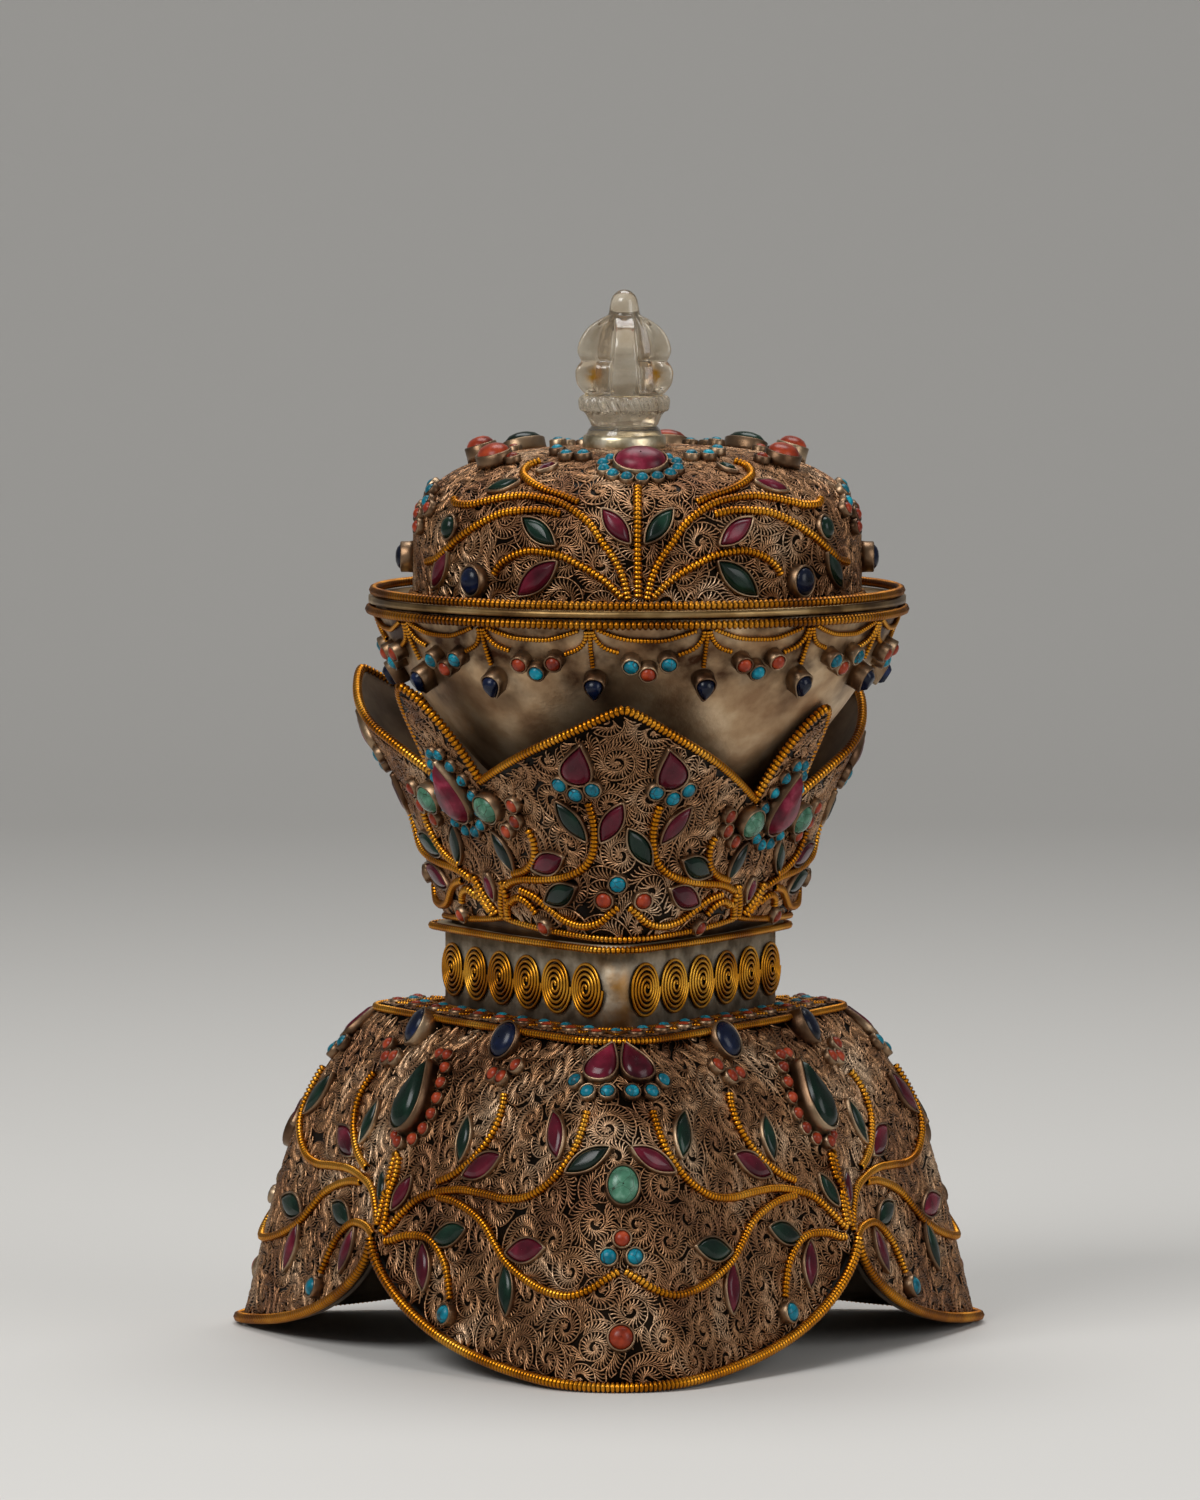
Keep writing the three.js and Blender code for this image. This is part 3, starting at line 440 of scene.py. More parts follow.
def on_shelf(points):
    """Azimuths and levels of the shelf nearest to points."""
    azimuth = azimuth_of(points)
    level = (radius_of(points, STAND_AXIS) / section(azimuth, *SHELF) - SHELF_INNER) / (1 - SHELF_INNER)
    return azimuth, np.clip(level, 0, 1)


# %% The bowl's wall
BOWL_TOP = high("bowl_shell")[2]
BOWL_REACH = 64.3
BOWL_HEIGHT = 66.0
BOWL_FULLNESS = 1.35


def bowl_radius(z, reach=BOWL_REACH, height=BOWL_HEIGHT):
    """Radius of the bowl at a height: a superellipse between a cone and a half ball."""
    depth = np.clip((BOWL_TOP - z) / height, 0, 1)
    return reach * (1 - depth**BOWL_FULLNESS) ** (1 / BOWL_FULLNESS)


def bowl(azimuth, level, out=0.0):
    """The bowl's outside from its mouth (level 0) down to its foot (level 1)."""
    z = BOWL_TOP - level * BOWL_HEIGHT
    return polar(azimuth, bowl_radius(z) + out, z, BOWL_AXIS)


on_bowl = by_height(BOWL_TOP, -BOWL_HEIGHT, BOWL_AXIS)

# %% The collar
COLLAR_RAISE = 1.2
COLLAR_TOP = low("collar_plate")[2] + COLLAR_RAISE


def collar(azimuth, level, out=0.0):
    """The upright collar band between the shelf and the collar plate."""
    radius = section(azimuth, *inset(COLLAR, -out))
    return polar(azimuth, radius, SHELF_TOP + level * (COLLAR_TOP - SHELF_TOP))


on_collar = by_height(SHELF_TOP, COLLAR_TOP - SHELF_TOP)

# %% All surfaces, and how to touch and see them
# Each surface has its points, the way back from points to azimuths and levels, and its body.
SURFACES = {
    "skirt": (skirt, on_skirt, "stand"), "shelf": (shelf, on_shelf, "stand"),
    "collar": (collar, on_collar, "stand"), "holder": (holder, on_holder, "stand"),
    "bowl": (bowl, on_bowl, "bowl"), "dome": (dome, on_dome, "lid"),
}


def touch(surface, azimuth, level):
    """Point, outward direction and direction to larger azimuths of a surface, by small differences."""
    at = SURFACES[surface][0]
    point = at(azimuth, level)
    level_low = np.clip(level - FINE, 0, 1 - 2 * FINE)
    across = unit(at(azimuth + FINE, level) - at(azimuth - FINE, level))
    along = at(azimuth, level_low + 2 * FINE) - at(azimuth, level_low)
    out = unit(np.cross(across, along))
    away = at(azimuth, level, 1.0) - point
    sign = np.sign(np.sum(out * away, axis=-1, keepdims=True))
    return point, out * np.where(sign == 0, 1, sign), across


def touch_one(surface, azimuth, level):
    """The same for one place."""
    return (value[0] for value in touch(surface, np.array([azimuth]), np.array([level])))


def pictured(points):
    """Where points fall in the picture, in pixels from its top left corner."""
    offset = points - EYE
    depth = offset @ AHEAD
    return np.stack([PICTURE[0] / 2 + FOCAL_PIXELS * (offset @ RIGHT) / depth,
                     PICTURE[1] / 2 - FOCAL_PIXELS * (offset @ ABOVE) / depth], -1)


SEARCH_AZIMUTHS = np.radians(np.linspace(-120, 120, 241))
SEARCH_LEVELS = np.linspace(0, 1, 81)
NEWTON_STEPS = 8
LONGEST_STEP = 0.05
LEAST_FACING = 0.02


def seen(surface, pixels, out=0.0):
    """Azimuth and level where the line of sight through each spot of the picture meets a surface.
    The nearest spot of a coarse net on the facing side is a start, and a few Newton steps close in. out
    is the height above the surface at which the line is met, for what stands proud of it."""
    pixels = np.atleast_2d(np.array(pixels, float))
    at = SURFACES[surface][0]
    azimuth, level = (grid.ravel() for grid in np.meshgrid(SEARCH_AZIMUTHS, SEARCH_LEVELS))
    facing = touch(surface, azimuth, level)[1] @ AHEAD < -LEAST_FACING
    azimuth, level = azimuth[facing], level[facing]
    net = pictured(at(azimuth, level, out))
    nearest = np.argmin(np.linalg.norm(net[None] - pixels[:, None], axis=2), axis=1)
    azimuth, level = azimuth[nearest], level[nearest]
    for step in range(NEWTON_STEPS):
        here = pictured(at(azimuth, level, out))
        by_azimuth = (pictured(at(azimuth + FINE, level, out)) - here) / FINE
        by_level = (pictured(at(azimuth, level + FINE, out)) - here) / FINE
        miss = pixels - here
        area = by_azimuth[:, 0] * by_level[:, 1] - by_azimuth[:, 1] * by_level[:, 0]
        area = np.where(np.abs(area) < 1, np.sign(area) + (area == 0), area)
        azimuth_step = (miss[:, 0] * by_level[:, 1] - miss[:, 1] * by_level[:, 0]) / area
        level_step = (by_azimuth[:, 0] * miss[:, 1] - by_azimuth[:, 1] * miss[:, 0]) / area
        azimuth = azimuth + np.clip(azimuth_step, -LONGEST_STEP, LONGEST_STEP)
        level = np.clip(level + np.clip(level_step, -LONGEST_STEP, LONGEST_STEP), 0, 1 - FINE)
    return azimuth, level


def seen_one(surface, pixel, out=0.0):
    """The same for one spot of the picture, as two numbers."""
    return (float(value[0]) for value in seen(surface, [pixel], out))


# %% [markdown]
# ## Pieces
# A piece is one mesh of many shapes with one material. A shape is a block of points and the faces between
# them. Sheets, wires and rings are all grids of points, so one function gives the faces of a grid.

# %% Meshes from grids
AROUND, SMALL_AROUND = 360, 96


def grid_faces(rows, columns, wrap_rows=False, wrap_columns=False):
    """The four-sided faces of a grid, joined end to end where it wraps."""
    i = np.arange(rows if wrap_rows else rows - 1)
    j = np.arange(columns if wrap_columns else columns - 1)
    i, j = (part.ravel() for part in np.meshgrid(i, j, indexing="ij"))
    below, beside = (i + 1) % rows, (j + 1) % columns
    here, after = i * columns, below * columns
    return np.stack([here + j, here + beside, after + beside, after + j], -1)


def outward(points, faces, away=None):
    """Turns the faces round if they look inwards. away gives the outward direction at each point, and a
    closed shape needs none: its volume is positive when the faces look out."""
    points = points.reshape(-1, 3)
    a, b, c, d = (points[faces[:, k]] for k in (0, 1, 2, faces.shape[1] - 1))
    normals = np.cross(c - a, d - b) if faces.shape[1] == 4 else np.cross(b - a, c - a)
    guide = a + c if away is None else away.reshape(-1, 3)[faces[:, 0]]
    return faces if np.sum(normals * guide) > 0 else faces[:, ::-1]


def piece(name, body, material, shapes, instead=(), tones=None):
    """One object of the model, made of (points, faces) shapes in millimetres, riding on a body."""
    points = np.concatenate([spots.reshape(-1, 3) for spots, faces in shapes]) / 1000
    starts = np.cumsum([0] + [spots.size // 3 for spots, faces in shapes[:-1]])
    faces = [part + start for (spots, part), start in zip(shapes, starts)]
    corners = np.concatenate([part.ravel() for part in faces])
    sizes = np.concatenate([np.full(len(part), part.shape[1]) for part in faces])
    mesh = bpy.data.meshes.new(name)
    mesh.vertices.add(len(points))
    mesh.vertices.foreach_set("co", points.ravel().astype(np.float32))
    mesh.loops.add(len(corners))
    mesh.loops.foreach_set("vertex_index", corners.astype(np.int32))
    mesh.polygons.add(len(sizes))
    mesh.polygons.foreach_set("loop_start", (np.cumsum(sizes) - sizes).astype(np.int32))
    mesh.update(calc_edges=True)
    mesh.shade_smooth()
    if tones is not None:
        mesh.attributes.new("tone", "FLOAT", "POINT").data.foreach_set("value", tones.astype(np.float32))
    mesh.materials.append(material)
    made = new_object(name, mesh)
    if instead:
        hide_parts(*instead)
    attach(made, body)


def named(*starts):
    """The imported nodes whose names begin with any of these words."""
    return [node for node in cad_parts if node.startswith(starts)]


def circle(columns=AROUND):
    """Azimuths evenly spaced round an axis."""
    return np.linspace(0, TAU, columns, endpoint=False)


def slab(outer, inner, bottom, top):
    """The four rows of a flat ring between two sections or radii, and between two heights."""
    return [(inner, bottom), (outer, bottom), (outer, top), (inner, top)]


def wall(at, levels, thickness):
    """A closed sheet: along its outer face from level to level and back along its inner face."""
    azimuth = circle()
    outer = np.array([at(azimuth, level) for level in levels])
    inner = np.array([at(azimuth, level, -thickness) for level in levels])
    points = np.concatenate([outer, inner[::-1]])
    away = np.concatenate([outer - inner, (inner - outer)[::-1]])
    return points, outward(points, grid_faces(len(points), AROUND, True, True), away)


def ring(rows, columns=AROUND, axis=STAND_AXIS):
    """A closed band round an axis: each row is (section or plain radius, height)."""
    azimuth = circle(columns)
    points = np.array([polar(azimuth, reach_of(azimuth, shape), z, axis) for shape, z in rows])
    faces = grid_faces(len(rows), columns, True, True)
    middle = points.mean(0, keepdims=True)
    return points, outward(points, faces, points - middle)


def plain_ring(name, body, material, rows, instead=(), axis=STAND_AXIS, columns=AROUND):
    """A piece of plain silver: one closed ring."""
    piece(name, body, material, [ring(rows, columns, axis)], instead)


# %% [markdown]
# ## Wires
# The gilt wires are beaded: drawn wire that was rolled under a grooved blade. A bead is three rings of a
# tube, one of them narrow. The narrow rings are the dark places between the beads, darkened with painted shade.

# %% Wires along a path
BEAD_SIDES = 8
BEAD_RINGS = np.array([0.54, 0.98, 0.98])


def length(path, closed=False):
    """Length of a path of points."""
    steps = np.roll(path, -1, 0) - path
    return float(np.linalg.norm(steps if closed else steps[:-1], axis=1).sum())


def even(path, up, count, closed=False):
    """The same path and its up directions at equal distances along it."""
    rows = np.concatenate([path, up], 1)
    if closed:
        rows = np.concatenate([rows, rows[:1]])
    run = np.concatenate([[0], np.cumsum(np.linalg.norm(np.diff(rows[:, :3], axis=0), axis=1))])
    spots = np.linspace(0, run[-1], count, endpoint=not closed)
    rows = np.stack([np.interp(spots, run, column) for column in rows.T], -1)
    return rows[:, :3], rows[:, 3:]


def tube(path, up, radii, closed=False, sides=BEAD_SIDES):
    """A tube round a path. up is a direction at each point that is never along the path."""
    ahead = np.roll(path, -1, 0) - np.roll(path, 1, 0) if closed else np.gradient(path, axis=0)
    side = unit(np.cross(ahead, up))
    lift = unit(np.cross(side, ahead))
    turn = (np.arange(sides) * TAU / sides)[:, None]
    around = side[:, None] * np.cos(turn) + lift[:, None] * np.sin(turn)
    points = path[:, None] + np.broadcast_to(radii, len(path))[:, None, None] * around
    return points, outward(points, grid_faces(len(path), sides, closed, True), around)


def beaded(path, up, radius, pitch, closed=False, sides=BEAD_SIDES):
    """A beaded wire along a path, with a whole number of beads."""
    beads = max(2, round(length(path, closed) / pitch))
    count = beads * len(BEAD_RINGS) + (0 if closed else 1)
    path, up = even(path, up, count, closed)
    return tube(path, up, radius * BEAD_RINGS[np.arange(count) % len(BEAD_RINGS)], closed, sides)


def bead_groove_shade(shapes, sides=BEAD_SIDES):
    """Painted shade in the narrow rings of beaded wires: dark there and bright on the beads."""
    counts = [spots.shape[0] for spots, faces in shapes]
    tones = [np.repeat(np.arange(count) % len(BEAD_RINGS) > 0, sides) for count in counts]
    return np.concatenate(tones).astype(float)


# %% [markdown]
# ## Metals and stones
# Old silver is stained in slow patches across the piece. The shade in the hollows of the wires is painted: a
# tone stored with the mesh, from the height of a wire above its ground, darkens the foot of each wire and the
# sheet under the filigree.

# %% Metals


def stains(tree, place, scale, detail=4.0):
    """Slow patches over an object, from 0 to 1."""
    return add(tree, "ShaderNodeTexNoise", [("Vector", place)], Scale=scale, Detail=detail).outputs["Fac"]


def mixed(tree, share, first, second, way="MIX"):
    """Two colours mixed by a share: sockets or colours."""
    made = add(tree, "ShaderNodeMix", data_type="RGBA", blend_type=way)
    for entry, value in ((0, share), (6, first), (7, second)):
        if isinstance(value, bpy.types.NodeSocket):
            tree.links.new(made.inputs[entry], value)
        else:
            made.inputs[entry].default_value = value
    return made.outputs[2]


RESIDUE_SCALE = 110.0
GRAIN_SCALE = 900.0
SPECKLE_SCALE = 2200.0


def metal(name, dark, middle, bright, roughness, shade_painted=True, stain_scale=60.0, bump=0.0, residue=None,
          speckle=False):
    """A metal with slow stains. The tone stored with its mesh paints shade in the hollows of wires, or says
    where a residue has stayed."""
    material, tree, shader, place = new_material(name)
    patch = stains(tree, place, stain_scale)
    stained = ramp(tree, patch, [(0.35, dark), (0.5, middle), (0.68, bright)])
    if shade_painted or residue:
        tone = add(tree, "ShaderNodeAttribute", attribute_name="tone").outputs["Fac"]
    if speckle:
        twist = ramp(tree, stains(tree, place, SPECKLE_SCALE, 2.0), [(0.4, "#a8a8a8"), (0.6, "#ffffff")])
        stained = mixed(tree, 1.0, stained, twist, "MULTIPLY")
    if residue:
        spots = ramp(tree, stains(tree, place, RESIDUE_SCALE, 6.0), [(0.36, "#000000"), (0.62, "#ffffff")])
        share = add(tree, "ShaderNodeMath", [(0, tone), (1, spots)], operation="MULTIPLY").outputs[0]
        stained = mixed(tree, share, stained, linear(residue))
    if shade_painted:
        # Painted shade: a low tone darkens the colour almost to black, at the foot of wires and under the
        # filigree.
        height = ramp(tree, tone, [(0.12, "#120a05"), (0.8, "#ffffff")])
        stained = mixed(tree, 1.0, stained, height, "MULTIPLY")
    tree.links.new(shader.inputs["Base Color"], stained)
    shader.inputs["Metallic"].default_value = 1.0
    shader.inputs["Roughness"].default_value = roughness
    if bump:
        grain = stains(tree, place, GRAIN_SCALE, 3.0)
        made = add(tree, "ShaderNodeBump", [("Height", grain)], Strength=bump, Distance=0.0002)
        tree.links.new(shader.inputs["Normal"], made.outputs["Normal"])
    return material


FILIGREE = metal("filigree silver", "#94694b", "#bb8c64", "#e0bd9a", 0.42, speckle=True)
GILT = metal("gilt wire", "#94560f", "#c57d18", "#dd9d36", 0.33)
RIM_GILT = metal("rim gilt", "#6a3b0c", "#955a10", "#ba7c26", 0.36)
COIL_GILT = metal("coil gilt", "#8f5610", "#bf7f1e", "#e0a83c", 0.4)
SETTING = metal("setting silver", "#584130", "#80664e", "#ab9478", 0.4, shade_painted=False, bump=0.3)
SHEET = metal("sheet silver", "#8a765c", "#b5a284", "#d8cab0", 0.58, shade_painted=False, stain_scale=35.0, bump=0.35)
BOWL = metal("bowl silver", "#99795a", "#b99b78", "#d4bb9a", 0.52, shade_painted=False, stain_scale=90.0, bump=0.5,
             residue="#3d2416")
TRIM = metal("trim silver", "#5a4329", "#80653f", "#a98d62", 0.42, shade_painted=False, stain_scale=90.0, bump=0.3)
SOCKET = metal("socket silver", "#a8987a", "#cdbf9f", "#e8dfc8", 0.36, shade_painted=False, stain_scale=300.0, bump=0.4)
COLLAR_SILVER = metal("collar silver", "#7d7262", "#a39784", "#c6bba8", 0.62, shade_painted=False, stain_scale=200.0,
                      bump=0.6, residue="#a06c0e")
# The neck is dark brown: partly dirt and partly painted shade under the holder.
NECK_DIRT_AND_SHADE = metal("neck silver with dirt and shade", "#33241a", "#4b3828", "#6b543c", 0.55, shade_painted=False, bump=0.4)
UNDER = metal("under silver", "#5d4e40", "#7c6a58", "#9c8a74", 0.5, bump=0.3)
# Painted shade: a near-black sheet under the shelf's filigree and behind the coils, seen through their gaps.
SHADE_GROUND = matte("painted shade ground", "#1c110a", 0.9, 0.1)[0]

# %% Stones


def stone(name, stops, scale, roughness, veins=0.0):
    """A polished stone: a mottled colour, and dark veins where they are asked for."""
    material, tree, shader, place = new_material(name)
    colour = ramp(tree, stains(tree, place, scale, 6.0), stops)
    if veins:
        cells = add(tree, "ShaderNodeTexVoronoi", [("Vector", place)], feature="DISTANCE_TO_EDGE", Scale=scale)
        line = ramp(tree, cells.outputs["Distance"], [(0.0, "#000000"), (veins, "#ffffff")])
        colour = mixed(tree, line, linear("#2a2018"), colour)
    tree.links.new(shader.inputs["Base Color"], colour)
    shader.inputs["Roughness"].default_value = roughness
    shader.inputs["Specular IOR Level"].default_value = 0.25
    return material


STONES = {
    "turquoise": stone("turquoise", [(0.3, "#04424e"), (0.55, "#04758a"), (0.75, "#129fb2")], 300.0, 0.3, 0.03),
    "coral": stone("coral", [(0.3, "#54170b"), (0.55, "#913217"), (0.75, "#b24d2c")], 260.0, 0.3),
    "ruby": stone("ruby", [(0.3, "#2c0710"), (0.55, "#540f20"), (0.8, "#842339")], 120.0, 0.22),
    "raspberry": stone("raspberry ruby", [(0.3, "#400817"), (0.55, "#691127"), (0.75, "#98364c")], 260.0, 0.35),
    "green": stone("green", [(0.3, "#050e0a"), (0.55, "#0b2117"), (0.8, "#1a392b")], 120.0, 0.22),
    "lapis": stone("lapis", [(0.3, "#05070f"), (0.55, "#0c152d"), (0.8, "#1f3160")], 150.0, 0.25),
    "pale": stone("pale turquoise", [(0.3, "#305642"), (0.55, "#4b7a62"), (0.8, "#8ab09c")], 350.0, 0.25, 0.02),
}

# %% [markdown]
# ## Sheets
# The skirt, holder and lid are closed sheets under the filigree, so they have a real edge and an inside.

# %% Skirt, holder, shelf and dome
# Painted shade: the tone of the sheets' outer faces, which show only through the gaps of the filigree.
UNDER_FILIGREE_SHADE = 0.14
SKIRT_SHEET, HOLDER_SHEET, DOME_SHEET, BOWL_SHEET = 1.4, 1.2, 1.2, 1.6
SHELF_LOW = low("shelf_plate")[2]
SHELF_WIDTH = 22
FLANGE_REACH = 66.0
FLANGE_INNER = DOME_REACH - LID_SHEET


def shade_under_filigree(rows, outside):
    """Painted shade on the rows outside, under the filigree: dark there and bright inside."""
    return np.repeat(np.arange(rows) >= outside, AROUND) * (1 - UNDER_FILIGREE_SHADE) + UNDER_FILIGREE_SHADE


steps = np.linspace(0, 1, 41)  # closer together at the skirt's shoulder
for name, at, knots, sheet, node in (("skirt_sheet", skirt, steps**1.6, SKIRT_SHEET, "skirt_shell"),
                                     ("holder_sheet", holder, steps, HOLDER_SHEET, "holder_shell")):
    shape = wall(at, knots, sheet)
    tones = shade_under_filigree(len(shape[0]), len(knots))
    piece(name, "stand", UNDER, [shape], [node], tones)
# The shelf's sheet is near black: painted shade under its filigree.
piece("shelf_sheet", "stand", SHADE_GROUND,
      [ring(slab(SHELF, inset(SHELF, SHELF_WIDTH), SHELF_LOW, SHELF_TOP))], ["shelf_plate"])
dome_levels = np.linspace(0, 1 - FINE, 70)
dome_outer, dome_inner = (np.array([dome(circle(), level, out) for level in dome_levels])
                          for out in (0.0, -DOME_SHEET))
flange = [polar(circle(), reach, z, BOWL_AXIS)
          for reach, z in ((FLANGE_REACH, DOME_FOOT), (FLANGE_REACH, LID_BASE), (FLANGE_INNER, LID_BASE))]
dome_points = np.concatenate([dome_outer[::-1], flange, dome_inner])
dome_guide = dome_outer - dome_inner
dome_guide = np.concatenate([dome_guide[::-1], np.zeros((3, AROUND, 3)), -dome_guide])
dome_faces = outward(dome_points, grid_faces(len(dome_points), AROUND, True, True), dome_guide)
piece("lid_sheet", "lid", UNDER, [(dome_points, dome_faces)], ["lid_shell"],
      shade_under_filigree(len(dome_points), len(dome_outer) + 1))

# %% The bowl's wall and its residue
bowl_steps = np.sin(np.linspace(0, math.pi / 2, 60)) ** 1.4 * (1 - 2e-4)
DROPS = 14
DROP_STEP = TAU / DROPS
FRINGE_PHASE = math.radians(-37.09)
RESIDUE_REACH = 15.0
RESIDUE_BELOW_DROPS = 7.0
RESIDUE_FADE = 2.5


def bowl_side(azimuth, level, out=0.0):
    """The bowl's wall with a true inner face: its inner curve is shallower by the sheet's thickness."""
    if out >= 0:
        return bowl(azimuth, level, out)
    height = BOWL_HEIGHT + 2 * out
    z = BOWL_TOP - level * height
    return polar(azimuth, bowl_radius(z, BOWL_REACH + out, height), z, BOWL_AXIS)


bowl_shape = wall(bowl_side, bowl_steps, BOWL_SHEET)
bowl_depth = BOWL_TOP - bowl_shape[0][..., 2]
beside_drop = np.cos((azimuth_of(bowl_shape[0], BOWL_AXIS) - FRINGE_PHASE) * DROPS) * 0.5 + 0.5
beyond = bowl_depth - RESIDUE_REACH - RESIDUE_BELOW_DROPS * beside_drop
bowl_residue = 1 / (1 + np.exp(beyond / RESIDUE_FADE))
bowl_residue[len(bowl_steps):] = 0.0
piece("bowl_wall", "bowl", BOWL, [bowl_shape], ["bowl_shell"], bowl_residue.ravel())

# %% [markdown]
# ## Filigree
# The silver ground is hundreds of curls. Each is a spiral of frame wire, and the band between its turns is
# filled with small crescents that stand side by side. The curls are spread as evenly as a good worker
# would, and each fills the ground that is nearer to it than to any other. Lengths are in millimetres.

# %% Curls on a surface
CURL_GAP = 9.4
CLOSEST = 0.78 * CURL_GAP
CURL_FILL = 0.95 * CURL_GAP
CURL_SIZES = (0.85, 1.12)
TURN_PITCH = 3.1
CRESCENT_PITCH = 1.12
CRESCENT_SPAN = 2.7
CRESCENT_LEAN = 1.8
CRESCENT_BOW = 0.5
CRESCENT_START = 0.35
CRESCENT_NEAR = 1.3
STRAND = 0.23
STRAND_RISE = 0.42
STRAND_HEFT = np.array([0.75, 1.0, 1.0, 0.8])
# Painted shade: each stroke is dark at its foot and bright on its top.
STRAND_FOOT_SHADE = np.array([0.0, 1.0, 1.0, 0.0])
FRAME_STROKE = 1.7
FRAME_OVERLAP = 1.1
FRAME_NEAR = 0.6
FIRST_FRAME = 0.4
EYE_STROKES = 6
EYE_OVERLAP = 1.05
EYE_START = 0.15
EYE_TURNS = 1.0
EYE_PITCH = 0.2
BORDER = 0.3
CANDIDATES = 9000
MOST_STROKES = 10500
chance = np.random.default_rng(7)


def spread(surface, low_level, high_level):
    """Curl centres: each new one is the candidate farthest from all before it."""
    at = SURFACES[surface][0]
    azimuth = chance.uniform(-math.pi, math.pi, CANDIDATES)
    level = chance.uniform(low_level, high_level, CANDIDATES)
    across = np.linalg.norm(at(azimuth + FINE, level) - at(azimuth, level), axis=1)
    along = np.linalg.norm(at(azimuth, level + FINE) - at(azimuth, level), axis=1)
    kept = chance.uniform(0, 1, CANDIDATES) < across * along / (across * along).max()
    azimuth, level = azimuth[kept], level[kept]
    points = at(azimuth, level)
    chosen = [0]
    nearest = np.linalg.norm(points - points[0], axis=1)
    while nearest.max() > CLOSEST:
        chosen.append(int(nearest.argmax()))
        nearest = np.minimum(nearest, np.linalg.norm(points - points[chosen[-1]], axis=1))
    return azimuth[chosen], level[chosen]


def laid(surface, azimuth, level, flat):
    """Azimuths and levels of spots drawn flat on a card that touches a surface at a place."""
    here, out, across = (value[:, None] for value in touch(surface, azimuth, level))
    return SURFACES[surface][1](here + flat[..., :1] * across + flat[..., 1:] * np.cross(out, across))


def wound(radius, angle, scale):
    """Spots of a flat curl given by distances and angles from its centre."""
    return np.stack([radius * np.cos(angle), radius * np.sin(angle)], -1) * scale


def curl_strokes(scale, turned, mirrored):
    """The strokes of one curl, flat: crescents between the turns, the frame wire, and the eye. Each is four
    spots (x, y)."""
    area = (CURL_FILL / scale) ** 2 * math.pi / TURN_PITCH
    u = np.linspace(-0.5, 0.5, 4)
    half = CRESCENT_SPAN / 2
    count = np.arange(0, area / CRESCENT_PITCH)[:, None]
    turn = (np.sqrt(half**2 + 2 * CRESCENT_PITCH * count * TURN_PITCH / TAU) - half) * TAU / TURN_PITCH
    radius = TURN_PITCH * turn / TAU
    inner, outer = np.maximum(radius - half, CRESCENT_START), radius + half
    reach = inner + (u + 0.5) * (outer - inner)
    slide = CRESCENT_BOW * (1 - 4 * u**2) + CRESCENT_LEAN * u
    crescents = wound(reach, turn + turned + slide / np.maximum(reach, CRESCENT_NEAR), scale)
    frame_count = np.arange(FIRST_FRAME, area / FRAME_STROKE)[:, None]
    start = np.sqrt(4 * math.pi * FRAME_STROKE * frame_count / TURN_PITCH)
    angle = start + FRAME_OVERLAP * FRAME_STROKE * u / np.maximum(TURN_PITCH * start / TAU, FRAME_NEAR)
    frames = wound(TURN_PITCH * (angle / TAU + 0.5), angle + turned, scale)
    angle = (np.arange(EYE_STROKES)[:, None] + 0.5 + EYE_OVERLAP * u) * TAU * EYE_TURNS / EYE_STROKES
    eye = wound(EYE_START + EYE_PITCH * angle / TAU, angle + turned + math.pi, scale)
    strokes = np.concatenate([crescents, frames, eye])
    return strokes * [-1, 1] if mirrored else strokes


def filigree(surface, low_level, high_level):
    """All strokes of a surface as ridges: their points, tones that paint shade at their feet, and outward
    directions.
    """
    at = SURFACES[surface][0]
    centre_azimuth, centre_level = spread(surface, low_level, high_level)
    centres = at(centre_azimuth, centre_level)
    azimuths, levels = [], []
    for index in range(len(centres)):
        flat = curl_strokes(chance.uniform(*CURL_SIZES), chance.uniform(0, TAU), chance.uniform() < 0.5)
        place = laid(surface, centre_azimuth[index:index + 1], centre_level[index:index + 1],
                     flat.reshape(1, -1, 2))
        azimuth, level = (value.reshape(len(flat), 4) for value in place)
        middle = at(azimuth[:, 1:3].mean(1), np.clip(level[:, 1:3].mean(1), 0, 1))
        gap = np.linalg.norm(middle[:, None] - centres[None], axis=2)
        keep = gap[:, index] < gap.min(1) + BORDER
        keep &= (level.min(1) > low_level) & (level.max(1) < high_level)
        azimuths.append(azimuth[keep])
        levels.append(level[keep])
    azimuth, level = np.concatenate(azimuths), np.concatenate(levels)
    order = np.argsort(azimuth[:, 0])
    azimuth, level = azimuth[order], level[order]
    line, out, across = touch(surface, azimuth, level)
    side = unit(np.cross(np.gradient(line, axis=1), out))
    heft = STRAND_HEFT[:, None] * chance.uniform(0.85, 1.15, (len(line), 1, 1))
    lift, wide = out * STRAND_RISE * heft, side * STRAND * heft
    points = np.stack([line - wide, line + lift - wide * 0.5, line + lift + wide * 0.5, line + wide], 2)
    tones = np.broadcast_to(STRAND_FOOT_SHADE, (len(line), 4, 4))
    return points, tones * chance.uniform(0.7, 1, (len(line), 1, 1)), out


def lay_filigree(surface, low_level, high_level):
    """Makes the filigree pieces of a surface, each below a largest number of strokes."""
    points, tones, out = filigree(surface, low_level, high_level)
    parts = math.ceil(len(points) / MOST_STROKES)
    one = outward(points[0], grid_faces(4, 4), np.repeat(out[0, :, None], 4, axis=1))
    for part, index in enumerate(np.array_split(np.arange(len(points)), parts), 1):
        faces = (one[None] + np.arange(len(index))[:, None, None] * 16).reshape(-1, 4)
        piece(f"{surface}_filigree_{part}", SURFACES[surface][2], FILIGREE,
              [(points[index], faces)], tones=tones[index].ravel())
    print(surface, "filigree:", len(points), "strokes in", parts, "pieces")


for surface, high_level in (("skirt", 0.992), ("holder", 0.985), ("dome", 0.9), ("shelf", 1.0)):
    lay_filigree(surface, 0.0, high_level)

# %% [markdown]
# ## Edge wires
# A heavy wire finishes the hem, and lighter ones the shelf, the collar, the petals, the bowl and the lid.

